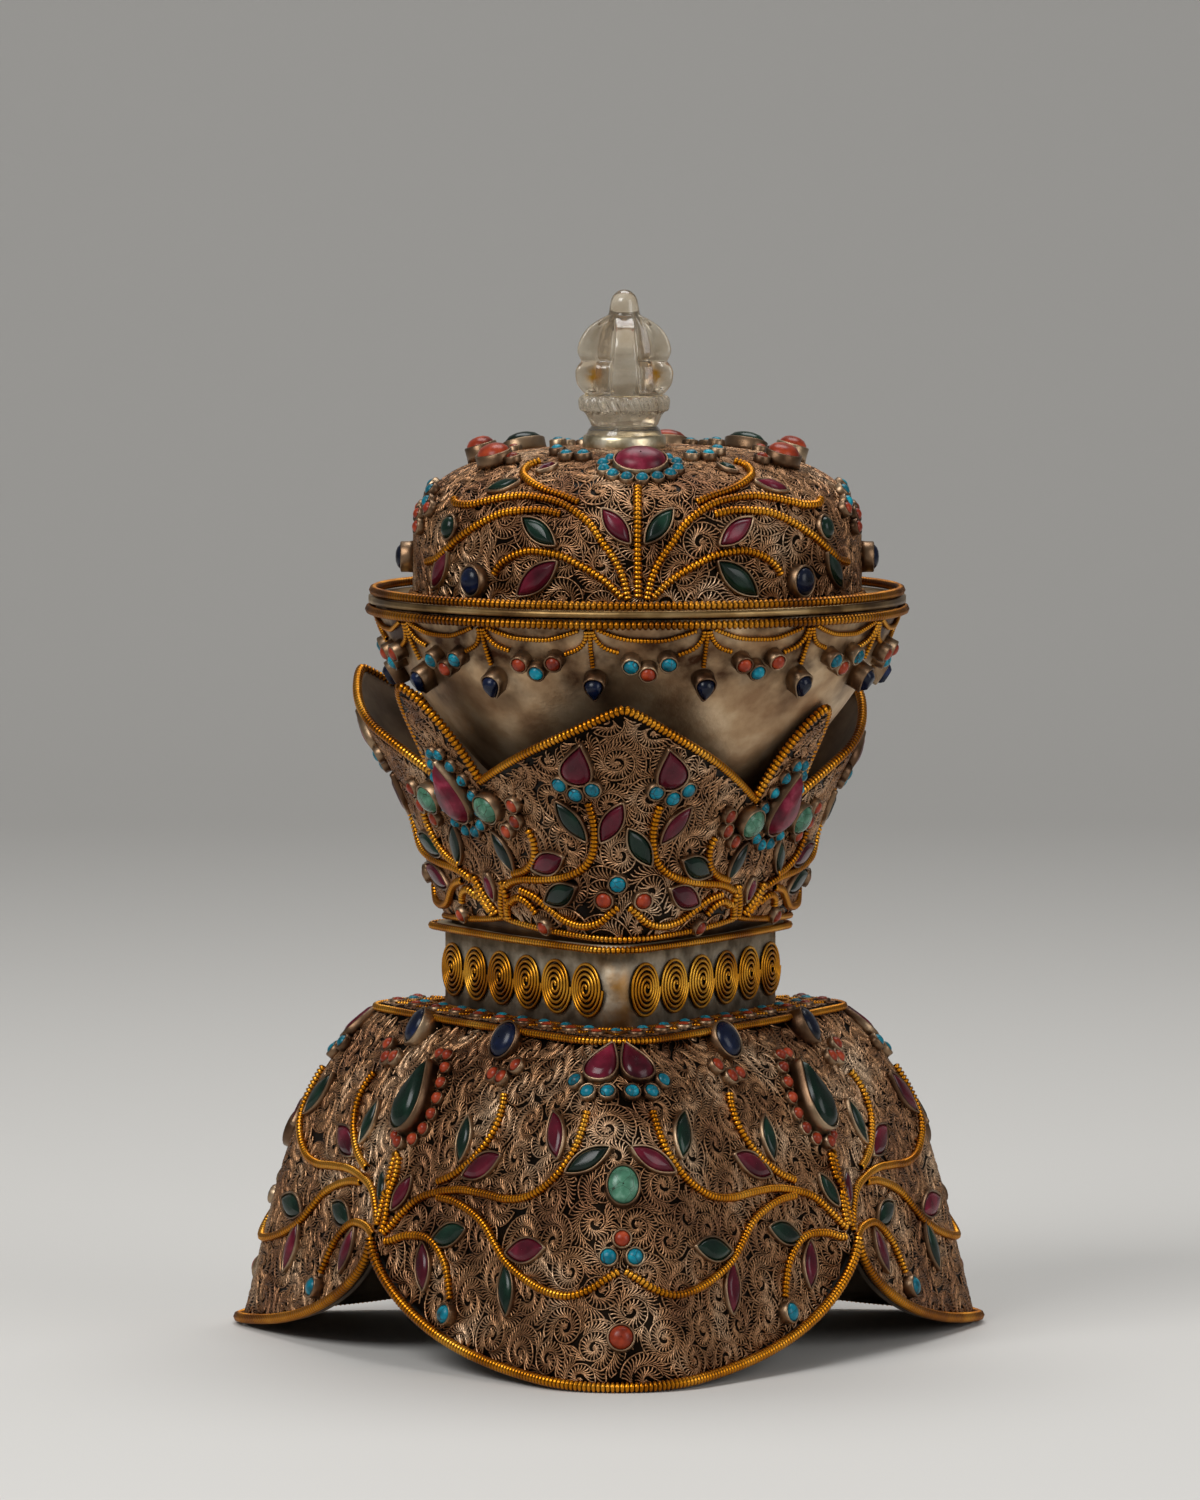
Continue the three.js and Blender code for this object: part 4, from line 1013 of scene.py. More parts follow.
# %% Edges
FINE_AROUND = 1440
edge_azimuth = circle(FINE_AROUND)
UPRIGHT = np.array([0.0, 0.0, 1.0])
upright = np.broadcast_to(UPRIGHT, (FINE_AROUND, 3))
BEAD_PITCH, RIM_PITCH, PETAL_PITCH = 1.13, 1.38, 1.27
HEM_WIRE, PETAL_WIRE, RIM_WIRE, THIN_WIRE = 1.35, 1.25, 1.2, 1.0
HEM_WIRE_RISE = 1.2
HEM_WIRE_OUT, SHELF_WIRE_OUT, COLLAR_WIRE_OUT = 1.5, 1.3, 3.3
SHELF_WIRE_DROP, COLLAR_WIRE_DROP = 0.8, 0.9
PETAL_WIRE_IN, PETAL_WIRE_LIFT = 0.6, 0.5
BOWL_WIRE_REACH, BOWL_WIRE_HEIGHT = 65.8, 181.4
LID_WIRE_REACH, LID_WIRE_HEIGHT = 64.8, 186.04
PLATE_TOP = high("collar_plate")[2] + COLLAR_RAISE


def gilt(name, body, wire, instead=()):
    """A piece of one beaded wire."""
    piece(name, body, GILT if body == "stand" else RIM_GILT, [wire], instead, bead_groove_shade([wire]))


def edge(name, body, shape, z, radius, instead=(), axis=STAND_AXIS, pitch=BEAD_PITCH):
    """A beaded wire all the way round, centred on a section or circle at a height, and never under the
    table."""
    path = polar(edge_azimuth, reach_of(edge_azimuth, shape), z, axis)
    path = np.maximum(path, [-np.inf, -np.inf, radius])
    gilt(name, body, beaded(path, upright, radius, pitch, closed=True), instead)


edge("hem_wire", "stand", inset(HEM, -HEM_WIRE_OUT), hem_rise(edge_azimuth) + HEM_WIRE_RISE, HEM_WIRE,
     named("hem_wire"))
edge("shelf_wire", "stand", inset(SHELF, -SHELF_WIRE_OUT), SHELF_TOP - SHELF_WIRE_DROP, THIN_WIRE,
     ["shelf_edge_wire"])
edge("collar_wire", "stand", inset(COLLAR, -COLLAR_WIRE_OUT), PLATE_TOP - COLLAR_WIRE_DROP, THIN_WIRE,
     ["collar_edge_wire"])
petal_path = holder(edge_azimuth, 1.0, -PETAL_WIRE_IN) + UPRIGHT * PETAL_WIRE_LIFT
petal_up = petal_path - np.array([*HOLDER_AXIS, HOLDER_BASE])
gilt("petal_wire", "stand", beaded(petal_path, petal_up, PETAL_WIRE, PETAL_PITCH, closed=True),
     ["petal_edge_wire"])
for body, reach, z in (("bowl", BOWL_WIRE_REACH, BOWL_WIRE_HEIGHT), ("lid", LID_WIRE_REACH, LID_WIRE_HEIGHT)):
    edge(f"{body}_wire", body, reach, z, RIM_WIRE, [f"{body}_rim_wire"], BOWL_AXIS, RIM_PITCH)

# %% [markdown]
# ## Stones in their settings
# A setting is a strip of silver bent round the stone and pressed over its edge. Both follow one flat
# outline, which is stood on the surface: x along it to the right, y up it, and z out of it.

# %% Outlines, bezels and stones
SMALL_SIDES = 12
LARGE_SIDES = 28
LONGEST_SMALL = 5.5
MARQUISE_SHAPE = 0.40
DROP_BLUNTNESS = 1.35
DROP_WIDTH = 0.66
BEZEL_WALL = 0.55
BEZEL_FLARE = 0.25
THIN_BAND = 0.3
GEM_SINK = 0.75
STONE_HEIGHT = 2.2


def outline(kind, long, wide, sides):
    """A closed flat outline with its long way along y: oval, marquise or drop with its point up."""
    turn = (np.arange(sides) + 0.5 * (kind == "oval")) * TAU / sides
    if kind == "oval":
        return np.stack([wide / 2 * np.cos(turn), long / 2 * np.sin(turn)], -1)
    if kind == "marquise":
        y = np.sin(turn)
        return np.stack([wide / 2 * np.sign(np.cos(turn)) * (1 - y**2), long / 2 * y], -1)
    blunt = np.abs(np.sin(turn / 2)) ** DROP_BLUNTNESS
    return np.stack([-wide * DROP_WIDTH * np.sin(turn) * blunt, long / 2 * np.cos(turn)], -1)


def widened(shape, by):
    """An outline moved outwards by a distance."""
    ahead = np.roll(shape, -1, 0) - np.roll(shape, 1, 0)
    across = np.stack([ahead[:, 1], -ahead[:, 0]], -1)
    size = np.linalg.norm(across, axis=1, keepdims=True)
    return shape + by * np.where(size > 1e-6, across / np.maximum(size, 1e-6), unit(shape))


# Both cuts are (share of the outline, share of the height) from the edge to the top.
CABOCHON = [(math.cos(math.radians(arc)) ** 0.8, math.sin(math.radians(arc))) for arc in (0, 25, 50, 72, 89)]
TABLE_CUT = [(1.0, 0.0), (0.86, 0.55), (0.82, 0.66), (0.62, 0.96), (0.57, 1.0), (0.02, 1.0)]


def lifted(flat, z):
    """Flat spots at a height."""
    return np.concatenate([flat, np.full((len(flat), 1), z)], 1)


def setting_shapes(kind, long, wide, height, rise, sink, band):
    """The (bezel, stone) shapes of one setting, about its own centre. The bezel goes from its foot up the
    wall, over the rolled edge and down inside."""
    sides = SMALL_SIDES if long < LONGEST_SMALL and kind == "oval" else LARGE_SIDES
    shape = outline(kind, long, wide, sides)
    rows = [(band + BEZEL_FLARE, -sink), (band, height * 0.45), (band, height - 0.2),
            (band * 0.5, height + 0.05), (0.0, height - 0.35), (0.0, height - 1.0)]
    bezel = np.array([lifted(widened(shape, by), z) for by, z in rows])
    cut = CABOCHON if kind == "oval" else TABLE_CUT
    gem = np.array([lifted(shape * share, height - GEM_SINK + (rise + 0.5) * up) for share, up in cut])
    gem_faces = outward(gem, grid_faces(len(cut), sides, False, True), gem - [0, 0, height - 2])
    bezel_faces = outward(bezel, grid_faces(len(rows), sides, True, True), bezel - lifted(shape, height / 2))
    return (bezel, bezel_faces), (gem, gem_faces)


def mounted(flat_points, origin, up, out):
    """Stands flat shapes on a surface at a spot, with y along up and z along out."""
    up = unit(up - out * (up @ out))
    return origin + flat_points @ np.array([np.cross(up, out), up, out])


jewels = {}
bezels = {}


def set_stone(surface, azimuth, level, up, kind, long, wide, colour, height=STONE_HEIGHT, rise=0.9, lean=0.0,
              band=BEZEL_WALL):
    """Adds one stone and its bezel to those of its surface. lean turns it from the surface's own direction
    towards a level one."""
    spot, out, across = touch_one(surface, azimuth, level)
    out = unit(out + lean * level_out(azimuth))
    bezel, gem = setting_shapes(kind, long, wide, height, rise, 0.9 + 0.5 * lean * long, band)
    bezels.setdefault(surface, []).append((mounted(bezel[0], spot, up, out), bezel[1]))
    jewels.setdefault((surface, colour), []).append((mounted(gem[0], spot, up, out), gem[1]))


def level_up(surface, azimuth, level):
    """The direction up a surface at a spot."""
    at = SURFACES[surface][0]
    low_level = min(level, 1 - 2 * FINE)
    climb = at(azimuth, low_level + FINE) - at(azimuth, low_level)
    return climb if climb[2] > -TINY else -climb


def flip(azimuth, middle):
    """An azimuth mirrored about a middle one."""
    return 2 * middle - azimuth


def pair(azimuth, middle, turn):
    """An azimuth and its mirror image, both turned."""
    return azimuth + turn, flip(azimuth, middle) + turn


def round_stones(surface, middle, turns, rows):
    """Small round stones, mirrored about a middle azimuth and repeated round the piece. Each row is
    (spots, colour, mirrored colour, size, other settings)."""
    for pixels, colour, other, size, more in rows:
        for azimuth, level in zip(*seen(surface, pixels, more.get("height", STONE_HEIGHT))):
            for tone, spot in ((colour, azimuth), (other, flip(azimuth, middle))):
                for turn in turns if tone else ():
                    set_stone(surface, spot + turn, level, level_up(surface, spot + turn, level),
                              "oval", size, size, tone, **more)


def pointed_stones(surface, kind, entries, middle, turns, shape=MARQUISE_SHAPE, **more):
    """Long stones given by their two ends in the picture: (x, y, x, y, colour, mirrored colour)."""
    at = SURFACES[surface][0]
    ends = np.array([entry[:4] for entry in entries], float)
    first, last = (np.stack(seen(surface, spots, more["height"]), -1) for spots in (ends[:, :2], ends[:, 2:]))
    for (first_azimuth, first_level), (last_azimuth, last_level), entry in zip(first, last, entries):
        for tone, mirror in ((entry[4], False), (entry[5], True)):
            for turn in turns if tone else ():
                tips = [(flip(a, middle) if mirror else a) + turn for a in (first_azimuth, last_azimuth)]
                start, finish = at(tips[0], first_level), at(tips[1], last_level)
                long = float(np.linalg.norm(finish - start)) - BEZEL_WALL
                set_stone(surface, sum(tips) / 2, (first_level + last_level) / 2, finish - start,
                          kind, long, long * shape, tone, **more)


def run_of(path):
    """Distances gone at each point of a path."""
    return np.concatenate([[0], np.cumsum(np.linalg.norm(np.diff(path, axis=0), axis=1))])


def ringed(surface, azimuth, level, kind, long, wide, count, away, colour, size=3.1):
    """A ring of small stones round a large one."""
    spot, out, across = touch_one(surface, azimuth, level)
    shape = widened(outline(kind, long, wide, SMALL_AROUND), away)
    shape = np.concatenate([shape, shape[:1]])
    run = run_of(shape)
    spots = (np.arange(count) + 0.5) * run[-1] / count
    flat = np.stack([np.interp(spots, run, column) for column in shape.T], -1)
    climb = level_up(surface, azimuth, level)
    for place in zip(*SURFACES[surface][1](mounted(lifted(flat, 0.0), spot, climb, out))):
        set_stone(surface, *place, climb, "oval", size, size, colour, 1.5, 1.3, 0.0, THIN_BAND)


# %% Vines
VINE = 1.1
VINE_PITCH = 1.1
VINE_SEAT = 0.75
VINE_STEPS = 8
vines = {}


def smooth(values, count):
    """A curve of count steps through values: cubic pieces whose slopes come from the neighbours."""
    at = np.linspace(0, len(values) - 1, count)
    slopes = np.gradient(values)
    index = np.clip(at.astype(int), 0, len(values) - 2)
    t = at - index
    left, right = values[index], values[index + 1]
    return (left * (1 + 2 * t) * (1 - t) ** 2 + slopes[index] * t * (1 - t) ** 2
            + right * t**2 * (3 - 2 * t) + slopes[index + 1] * t**2 * (t - 1))


def vine(surface, pixels, middle, turns, radius=VINE, mirror=True):
    """A beaded wire laid on a surface through spots of the picture, mirrored and repeated."""
    azimuth, level = (smooth(value, VINE_STEPS * len(pixels)) for value in seen(surface, pixels, radius))
    for side in (azimuth, flip(azimuth, middle)) if mirror else (azimuth,):
        for turn in turns:
            spot, out, across = touch(surface, side + turn, np.clip(level, 0, 1))
            wire = beaded(spot + out * radius * VINE_SEAT, out, radius, VINE_PITCH)
            vines.setdefault(surface, []).append(wire)


# %% [markdown]
# ## The skirt's ornament
# Vines rise from a knot at each cusp. One lobe is drawn from the front of the picture, mirrored about its
# middle, and repeated on the three lobes. Spots are in picture pixels.

# %% Skirt
LOBES = (0.0, THIRD, -THIRD)
LOBE_MIDDLE = next(seen_one("skirt", (621, 1192)))
SKIRT_VINES = [
    [(397, 1157), (394, 1175), (387, 1196), (383, 1222), (379, 1234)],
    [(381, 1234), (398, 1217), (417, 1200), (438, 1193), (461, 1191), (484, 1195), (507, 1200), (528, 1198),
     (547, 1187), (562, 1172), (575, 1152), (583, 1131), (588, 1113)],
    [(437, 1183), (453, 1176), (470, 1163), (486, 1145), (497, 1126), (503, 1107), (504, 1096)],
    [(437, 1198), (453, 1202), (470, 1212), (484, 1225), (495, 1244), (507, 1263), (526, 1280), (547, 1292),
     (570, 1297), (591, 1290), (606, 1280), (619, 1272)],
    [(383, 1242), (402, 1237), (421, 1237), (434, 1245), (444, 1263), (448, 1282), (450, 1301)],
]
SKIRT_MARQUISES = [
    (459, 1164, 468, 1117, "green", "green"), (462, 1177, 502, 1156, "ruby", "ruby"),
    (560, 1161, 555, 1113, "ruby", "green"), (566, 1174, 612, 1148, "green", "ruby"),
    (430, 1241, 466, 1229, "green", "green"), (422, 1293, 421, 1243, "ruby", "ruby"),
    (507, 1254, 547, 1249, "ruby", "green"), (507, 1318, 506, 1264, "green", "ruby"),
    (389, 1210, 410, 1175, "ruby", "green"),
]
SKIRT_DROPS = [(594, 1084, 614, 1044, "ruby", "ruby")]
SKIRT_ROUNDS = [
    ([(577, 1085), (589, 1096), (608, 1096)], "turquoise", "turquoise", 3.5, {}),
    ([(492, 1078), (501, 1081), (516, 1070)], "coral", "coral", 3.5, {}),
    ([(444, 1317)], "turquoise", "turquoise", 4.6, {"height": 3.0}),
    ([(609, 1259)], "turquoise", "turquoise", 3.9, {}),
    ([(622, 1241)], "coral", None, 3.9, {}),
    ([(621, 1340)], "coral", None, 5.8, {"height": 2.6, "rise": 1.6}),
]
SKIRT_DROP, SKIRT_DROP_LEVEL = ("drop", 18.5, 10.0), 0.325
for path in SKIRT_VINES:
    vine("skirt", path, LOBE_MIDDLE, LOBES)
pointed_stones("skirt", "marquise", SKIRT_MARQUISES, LOBE_MIDDLE, LOBES, height=1.5, rise=0.7)
pointed_stones("skirt", "drop", SKIRT_DROPS, LOBE_MIDDLE, LOBES, 0.66, height=2.0, rise=1.0)
round_stones("skirt", LOBE_MIDDLE, LOBES, SKIRT_ROUNDS)
lapis_azimuth, lapis_level = seen_one("skirt", (504, 1046), 3.0)
pale_azimuth, pale_level = seen_one("skirt", (623, 1189), 3.0)
for lobe in LOBES:
    for spot in pair(lapis_azimuth, LOBE_MIDDLE, lobe):
        set_stone("skirt", spot, lapis_level, UPRIGHT, "oval", 9.2, 7.6, "lapis", 3.6, 1.5, 0.6)
    set_stone("skirt", pale_azimuth + lobe, pale_level, UPRIGHT, "oval", 9.4, 7.4, "pale", 3.0, 1.2)
    side = lobe + THIRD / 2
    set_stone("skirt", side, SKIRT_DROP_LEVEL, UPRIGHT, *SKIRT_DROP, "green", 3.0, 1.8)
    ringed("skirt", side, SKIRT_DROP_LEVEL, *SKIRT_DROP, 15, 3.1, "coral")

# %% [markdown]
# ## The holder's ornament
# The petal at the front corner is drawn, mirrored and repeated in the same way. A large ruby in a ring of
# turquoises fills each narrow petal.

# %% Holder
PETAL_MIDDLE = next(seen_one("holder", (624, 830)))
HOLDER_VINES = [
    [(588, 801), (593, 818), (595, 836), (592, 856), (581, 870), (563, 877), (541, 879), (519, 879), (506, 884),
     (501, 896), (502, 913)],
    [(528, 828), (534, 842), (534, 858), (526, 869), (513, 873)],
    [(520, 889), (535, 896), (549, 907), (565, 919), (583, 925), (600, 922), (612, 911), (619, 906)],
    [(507, 912), (510, 901), (518, 897), (529, 903), (537, 913)],
    [(473, 874), (477, 890), (483, 901), (492, 914)],
]
HOLDER_MARQUISES = [
    (588, 842, 555, 801, "green", "ruby"), (533, 868, 566, 856, "ruby", "green"),
    (546, 901, 579, 886, "green", "ruby"), (512, 868, 488, 826, "green", "green"),
    (493, 900, 485, 872, "ruby", "ruby"), (601, 842, 624, 802, "ruby", None),
    (651, 865, 627, 827, "green", None),
]
HOLDER_DROPS = [(574, 782, 581, 742, "ruby", "ruby")]
HOLDER_ROUNDS = [
    ([(560, 782), (576, 792), (593, 787)], "turquoise", "turquoise", 3.7, {}),
    ([(512, 803), (515, 819), (506, 829)], "coral", "coral", 3.5, {}),
    ([(544, 925)], "coral", "coral", 3.5, {}),
    ([(618, 883)], "turquoise", None, 4.0, {}),
    ([(605, 899)], "coral", "coral", 4.0, {}),
]
HOLDER_DROP, HOLDER_DROP_LEVEL = ("drop", 17.0, 11.0), 0.56
for path in HOLDER_VINES:
    vine("holder", path, PETAL_MIDDLE, LOBES)
pointed_stones("holder", "marquise", HOLDER_MARQUISES, PETAL_MIDDLE, LOBES, height=1.5, rise=0.7)
pointed_stones("holder", "drop", HOLDER_DROPS, PETAL_MIDDLE, LOBES, 0.68, height=2.2, rise=1.0)
round_stones("holder", PETAL_MIDDLE, LOBES, HOLDER_ROUNDS)
oval_azimuth, oval_level = seen_one("holder", (485, 805), 3.0)
for lobe in LOBES:
    for spot in pair(oval_azimuth, PETAL_MIDDLE, lobe):
        set_stone("holder", spot, oval_level, UPRIGHT, "oval", 7.2, 8.2, "pale", 3.2, 1.6)
    side = lobe + THIRD / 2
    set_stone("holder", side, HOLDER_DROP_LEVEL, UPRIGHT, *HOLDER_DROP, "raspberry", 3.2, 2.2)
    ringed("holder", side, HOLDER_DROP_LEVEL, *HOLDER_DROP, 14, 3.0, "turquoise")

# %% [markdown]
# ## The lid's ornament
# The same drawing covers the front half of the dome and, turned by half a turn, the back half.

# %% Lid
HALVES = (0.0, math.pi)
LID_MIDDLE = next(seen_one("dome", (637.5, 540)))
LID_VINES = [
    [(493, 575), (499, 565), (512, 556), (528, 551), (543, 552), (561, 556), (577, 564), (593, 573), (607, 583),
     (622, 598)],
    [(628, 600), (623, 578), (614, 559), (602, 542), (590, 524), (575, 511), (559, 502), (540, 497), (521, 495),
     (502, 497), (483, 501), (469, 504), (456, 503), (453, 498)],
    [(579, 502), (563, 495), (543, 488), (528, 479), (523, 472), (529, 464), (540, 460)],
    [(561, 514), (543, 510), (524, 510), (505, 512), (489, 518), (473, 527), (459, 537), (445, 550), (435, 559),
     (426, 562)],
]
LID_MARQUISES = [
    (631, 545, 602, 507, "ruby", "green"), (556, 546, 522, 516, "green", "ruby"),
    (516, 596, 557, 561, "ruby", "green"), (485, 489, 520, 479, "green", "ruby"),
    (536, 470, 557, 462, "ruby", "green"), (431, 588, 446, 551, "ruby", "green"),
]
LID_ROUNDS = [
    ([(429, 488), (425, 500)], "turquoise", "turquoise", 3.2, {}),
    ([(426, 507), (416, 513), (415, 526)], "coral", "coral", 3.2, {}),
    ([(557, 447), (566, 452), (583, 452)], "turquoise", "turquoise", 3.2, {}),
    ([(496, 456), (512, 455)], "coral", "coral", 3.2, {}),
]
LID_SEAM = [(637.6, 486), (637.6, 520), (637.6, 560), (638, 598)]
LID_SEAM_WIRE = 1.15
LID_OVALS = [  # degrees from the front, colour, height and width
    (0, "raspberry", 12.5, 9.5), (-66, "coral", 9, 8), (66, "coral", 9, 8), (-100, "coral", 9.5, 7),
    (100, "coral", 9.5, 7), (-135, "green", 11, 8), (135, "green", 11, 8), (-168, "coral", 10, 7),
    (168, "coral", 10, 7),
]
LID_RING_REACH = 38.0
LID_SIDE_LEVEL = 0.12
RUBY_LEAN = 0.3
for path in LID_VINES:
    vine("dome", path, LID_MIDDLE, HALVES)
vine("dome", LID_SEAM, LID_MIDDLE, HALVES, LID_SEAM_WIRE, mirror=False)
pointed_stones("dome", "marquise", LID_MARQUISES, LID_MIDDLE, HALVES, height=1.5, rise=0.8)
round_stones("dome", LID_MIDDLE, HALVES, LID_ROUNDS)
lid_spots = list(zip(*seen("dome", [(471, 581), (444, 526)], 2.5)))
for turn in HALVES:
    for (azimuth, level), kind, size, height in zip(lid_spots, ("lapis", "green"), (6.2, 5.0), (3.2, 1.6)):
        for spot in pair(azimuth, LID_MIDDLE, turn):
            set_stone("dome", spot, level, UPRIGHT, "oval", size * 1.1, size, kind, height, 1.4)
    side = turn + math.pi / 2 + LID_MIDDLE
    set_stone("dome", side, LID_SIDE_LEVEL, UPRIGHT, "oval", 6.5, 6.0, "lapis", 3.4, 1.5)
ring_level = float(np.interp(LID_RING_REACH, DOME_RADII[::-1], DOME_LEVELS[::-1]))
for degrees, tone, across, tall in LID_OVALS:
    azimuth = math.radians(degrees)
    front = degrees == 0
    set_stone("dome", azimuth, ring_level, -level_out(azimuth), "oval", tall, across, tone,
              3.4 if abs(degrees) < 90 else 4.0, 2.2, RUBY_LEAN * front)
    if front:
        ringed("dome", azimuth, ring_level, "oval", tall, across, 14, 3.0, "turquoise")

# %% [markdown]
# ## The bowl's fringe
# Fourteen lapis drops hang below the rim, each on a beaded strand. Between two of them are a shallow swag,
# two arcs that hold a cluster of three stones, and the cluster's colours change places from gap to gap.

# %% Fringe
FRINGE_NODES = [(480, 626), (594, 630)]
FRINGE_WIRES = [
    [(486, 626), (499, 632), (515, 637), (535, 639), (551, 639), (567, 635), (582, 630)],
    [(482, 627), (488, 637), (497, 645), (510, 650)],
    [(590, 630), (589, 639), (582, 648), (567, 654)],
    [(480, 627), (483, 645), (490, 664)],
]
FRINGE_STONES = [(519, 660), (537, 668), (555, 659)]
FRINGE_DROP = (493, 680)
FRINGE_WIRE = 0.68
FRINGE_PITCH = 0.85
FRINGE_STEPS = 6
HANG = 0.3  # what hangs from a node keeps this share of its way to the side
node_azimuths = seen("bowl", FRINGE_NODES, 1.0)[0]
stretch = DROP_STEP / (node_azimuths[1] - node_azimuths[0])


def in_gap(pixels, out):
    """Azimuths counted from the node of a gap, in whole-gap proportion, and levels."""
    azimuth, level = seen("bowl", pixels, out)
    return (azimuth - node_azimuths[0]) * stretch, level


wires = [[smooth(value, FRINGE_STEPS * len(path)) for value in in_gap(path, 0.8)] for path in FRINGE_WIRES]
wires[-1][0] = wires[-1][0] * HANG
cluster = in_gap(FRINGE_STONES, 3.0)
drop_azimuth, drop_level = (float(value[0]) for value in in_gap([FRINGE_DROP], 3.5))
for gap in range(DROPS):
    start = node_azimuths[0] + gap * DROP_STEP
    for azimuth, level in wires:
        spot, out, across = touch("bowl", start + azimuth, np.clip(level, 0, 1))
        vines.setdefault("bowl", []).append(beaded(spot + out * 0.6, out, FRINGE_WIRE, FRINGE_PITCH))
    trio = ("coral", "turquoise", "coral") if gap % 2 == 0 else ("turquoise", "coral", "turquoise")
    for azimuth, level, tone in zip(*cluster, trio):
        set_stone("bowl", start + azimuth, level, UPRIGHT, "oval", 3.7, 3.7, tone, 3.2, 1.1)
    set_stone("bowl", start + drop_azimuth * HANG, drop_level, -UPRIGHT, "drop", 6.0, 4.6, "lapis", 3.8, 1.6)

# %% [markdown]
# ## Shelf, collar and neck
# Two rows of small stones and a zigzag wire run round the shelf. The coils on the collar are wire wound in
# a spiral over a dark puck, which is painted shade between the turns.

# %% Shelf stones and wires
SHELF_STONES = 30
SHELF_WIRE, SHELF_WIRE_PITCH = 0.5, 0.8
FOOT_WIRE, FOOT_WIRE_PITCH = 0.6, 0.9


def around_section(shape, z, shift):
    """Evenly spaced points along a section, one for each stone."""
    path = polar(edge_azimuth, section(edge_azimuth, *shape), z)
    run = run_of(path)
    whole = run[-1] + np.linalg.norm(path[0] - path[-1])
    spots = (np.arange(SHELF_STONES) + shift) * whole / SHELF_STONES
    place = np.interp(spots, run, edge_azimuth)
    return polar(place, section(place, *shape), z)


for shape, shift, tone in ((inset(SHELF, 7.6), 0.0, "turquoise"), (inset(SHELF, 4.0), 0.5, "coral")):
    for azimuth, level in zip(*on_shelf(around_section(shape, SHELF_TOP, shift))):
        set_stone("shelf", azimuth, level, level_out(azimuth), "oval", 3.3, 3.3, tone, 1.1, 0.8)
inner, outer = (around_section(inset(SHELF, by), SHELF_TOP + SHELF_WIRE, shift)
                for by, shift in ((8.2, 0.42), (1.8, 0.0)))
zigzag = np.stack([outer, inner], 1).reshape(-1, 3)
zigzag = even(zigzag, np.broadcast_to(UPRIGHT, zigzag.shape), 720, True)
foot = polar(edge_azimuth, section(edge_azimuth, *inset(COLLAR, -3.6)), SHELF_TOP + FOOT_WIRE)
vines["shelf"] = [beaded(*zigzag, SHELF_WIRE, SHELF_WIRE_PITCH, closed=True),
                  beaded(foot, upright, FOOT_WIRE, FOOT_WIRE_PITCH, closed=True)]

# %% Collar band, plate, neck and coils
COIL_TURNS = 5
COIL_STEPS = 26
COIL_WIRE = 0.43
COIL_REACH = 6.35
COIL_TALL = 1.1
COIL_RAISE = 1.2
COIL_PUCK = 0.55
COIL_CROWN = 0.5
COIL_SIDES = 8
COIL_GROWTH = 0.93
PUCK_SIDES = 24
PUCK_INSET = 0.9
WALLS = 3.0
PLATE_WIDTH = 12
PLATE_OVERHANG = 2.0
FOOT_LIFT = 0.6
HOLDER_WIRE = 0.9
# Painted shade on the coil wire: dark on its sides, rising to bright on its top.
COIL_SIDE_SHADE = (0.1, 1.2)  # tone in the middle of the wire, and its gain up to the top
CORNER_STAIN = math.radians(5)
NECK_TOP = high("holder_neck")[2]
collar_rows = [(inset(COLLAR, WALLS), SHELF_TOP), (COLLAR, SHELF_TOP), (COLLAR, (SHELF_TOP + COLLAR_TOP) / 2),
               (COLLAR, COLLAR_TOP), (inset(COLLAR, WALLS), COLLAR_TOP)]
collar_shape = ring(collar_rows, FINE_AROUND // 2)
corner_stain = np.exp(-(from_corner(azimuth_of(collar_shape[0])) / CORNER_STAIN) ** 2)
piece("collar_sheet", "stand", COLLAR_SILVER, [collar_shape], ["collar_band"],
      corner_stain.ravel())
plate_rows = slab(inset(COLLAR, -PLATE_OVERHANG), inset(COLLAR, PLATE_WIDTH), COLLAR_TOP, PLATE_TOP)
plain_ring("collar_top", "stand", SHEET, plate_rows, ["collar_plate"])
neck_rows = slab(NECK, inset(NECK, WALLS), PLATE_TOP, NECK_TOP)
plain_ring("neck_sheet", "stand", NECK_DIRT_AND_SHADE, neck_rows, ["holder_neck"])
turn = np.linspace(0, TAU * COIL_TURNS, COIL_TURNS * COIL_STEPS)
grow = COIL_WIRE + (COIL_REACH - COIL_WIRE) * (turn / turn[-1]) ** COIL_GROWTH
crown = COIL_PUCK + COIL_CROWN * (1 - (grow / COIL_REACH) ** 2)
coil_flat = np.stack([grow * np.cos(turn), grow * np.sin(turn) * COIL_TALL, crown], -1)
puck_reach = COIL_REACH - PUCK_INSET
puck_rows = [(puck_reach, 0.0), (puck_reach, COIL_PUCK - 0.35), (COIL_REACH * 0.5, COIL_PUCK - 0.1),
             (0.2, COIL_PUCK + 0.1)]
puck = np.array([polar(circle(PUCK_SIDES), reach, z, np.zeros(2)) for reach, z in puck_rows])
coil_wires, coil_pucks, coil_side_shade = [], [], []
for node in named("coil_scroll"):
    middle = (low(node) + high(node)) / 2 + UPRIGHT * COIL_RAISE
    spot, out, across = touch_one("collar", *on_collar(middle))
    path = mounted(coil_flat, spot, UPRIGHT, out)
    coil_wires.append(tube(path, np.broadcast_to(out, path.shape), COIL_WIRE, sides=COIL_SIDES))
    # Painted shade: the tone grows with the height round the wire, from dark sides and bottom to a bright top.
    height = (coil_wires[-1][0] - path[:, None]) @ out / COIL_WIRE
    coil_side_shade.append(np.clip(height * COIL_SIDE_SHADE[1] + COIL_SIDE_SHADE[0], 0, 1).ravel())
    placed = mounted(puck, spot, UPRIGHT, out)
    puck_faces = outward(placed, grid_faces(len(puck), PUCK_SIDES, False, True), placed - spot)
    coil_pucks.append((placed, puck_faces))
piece("coil_wires", "stand", COIL_GILT, coil_wires, named("coil_scroll"),
      np.concatenate(coil_side_shade))
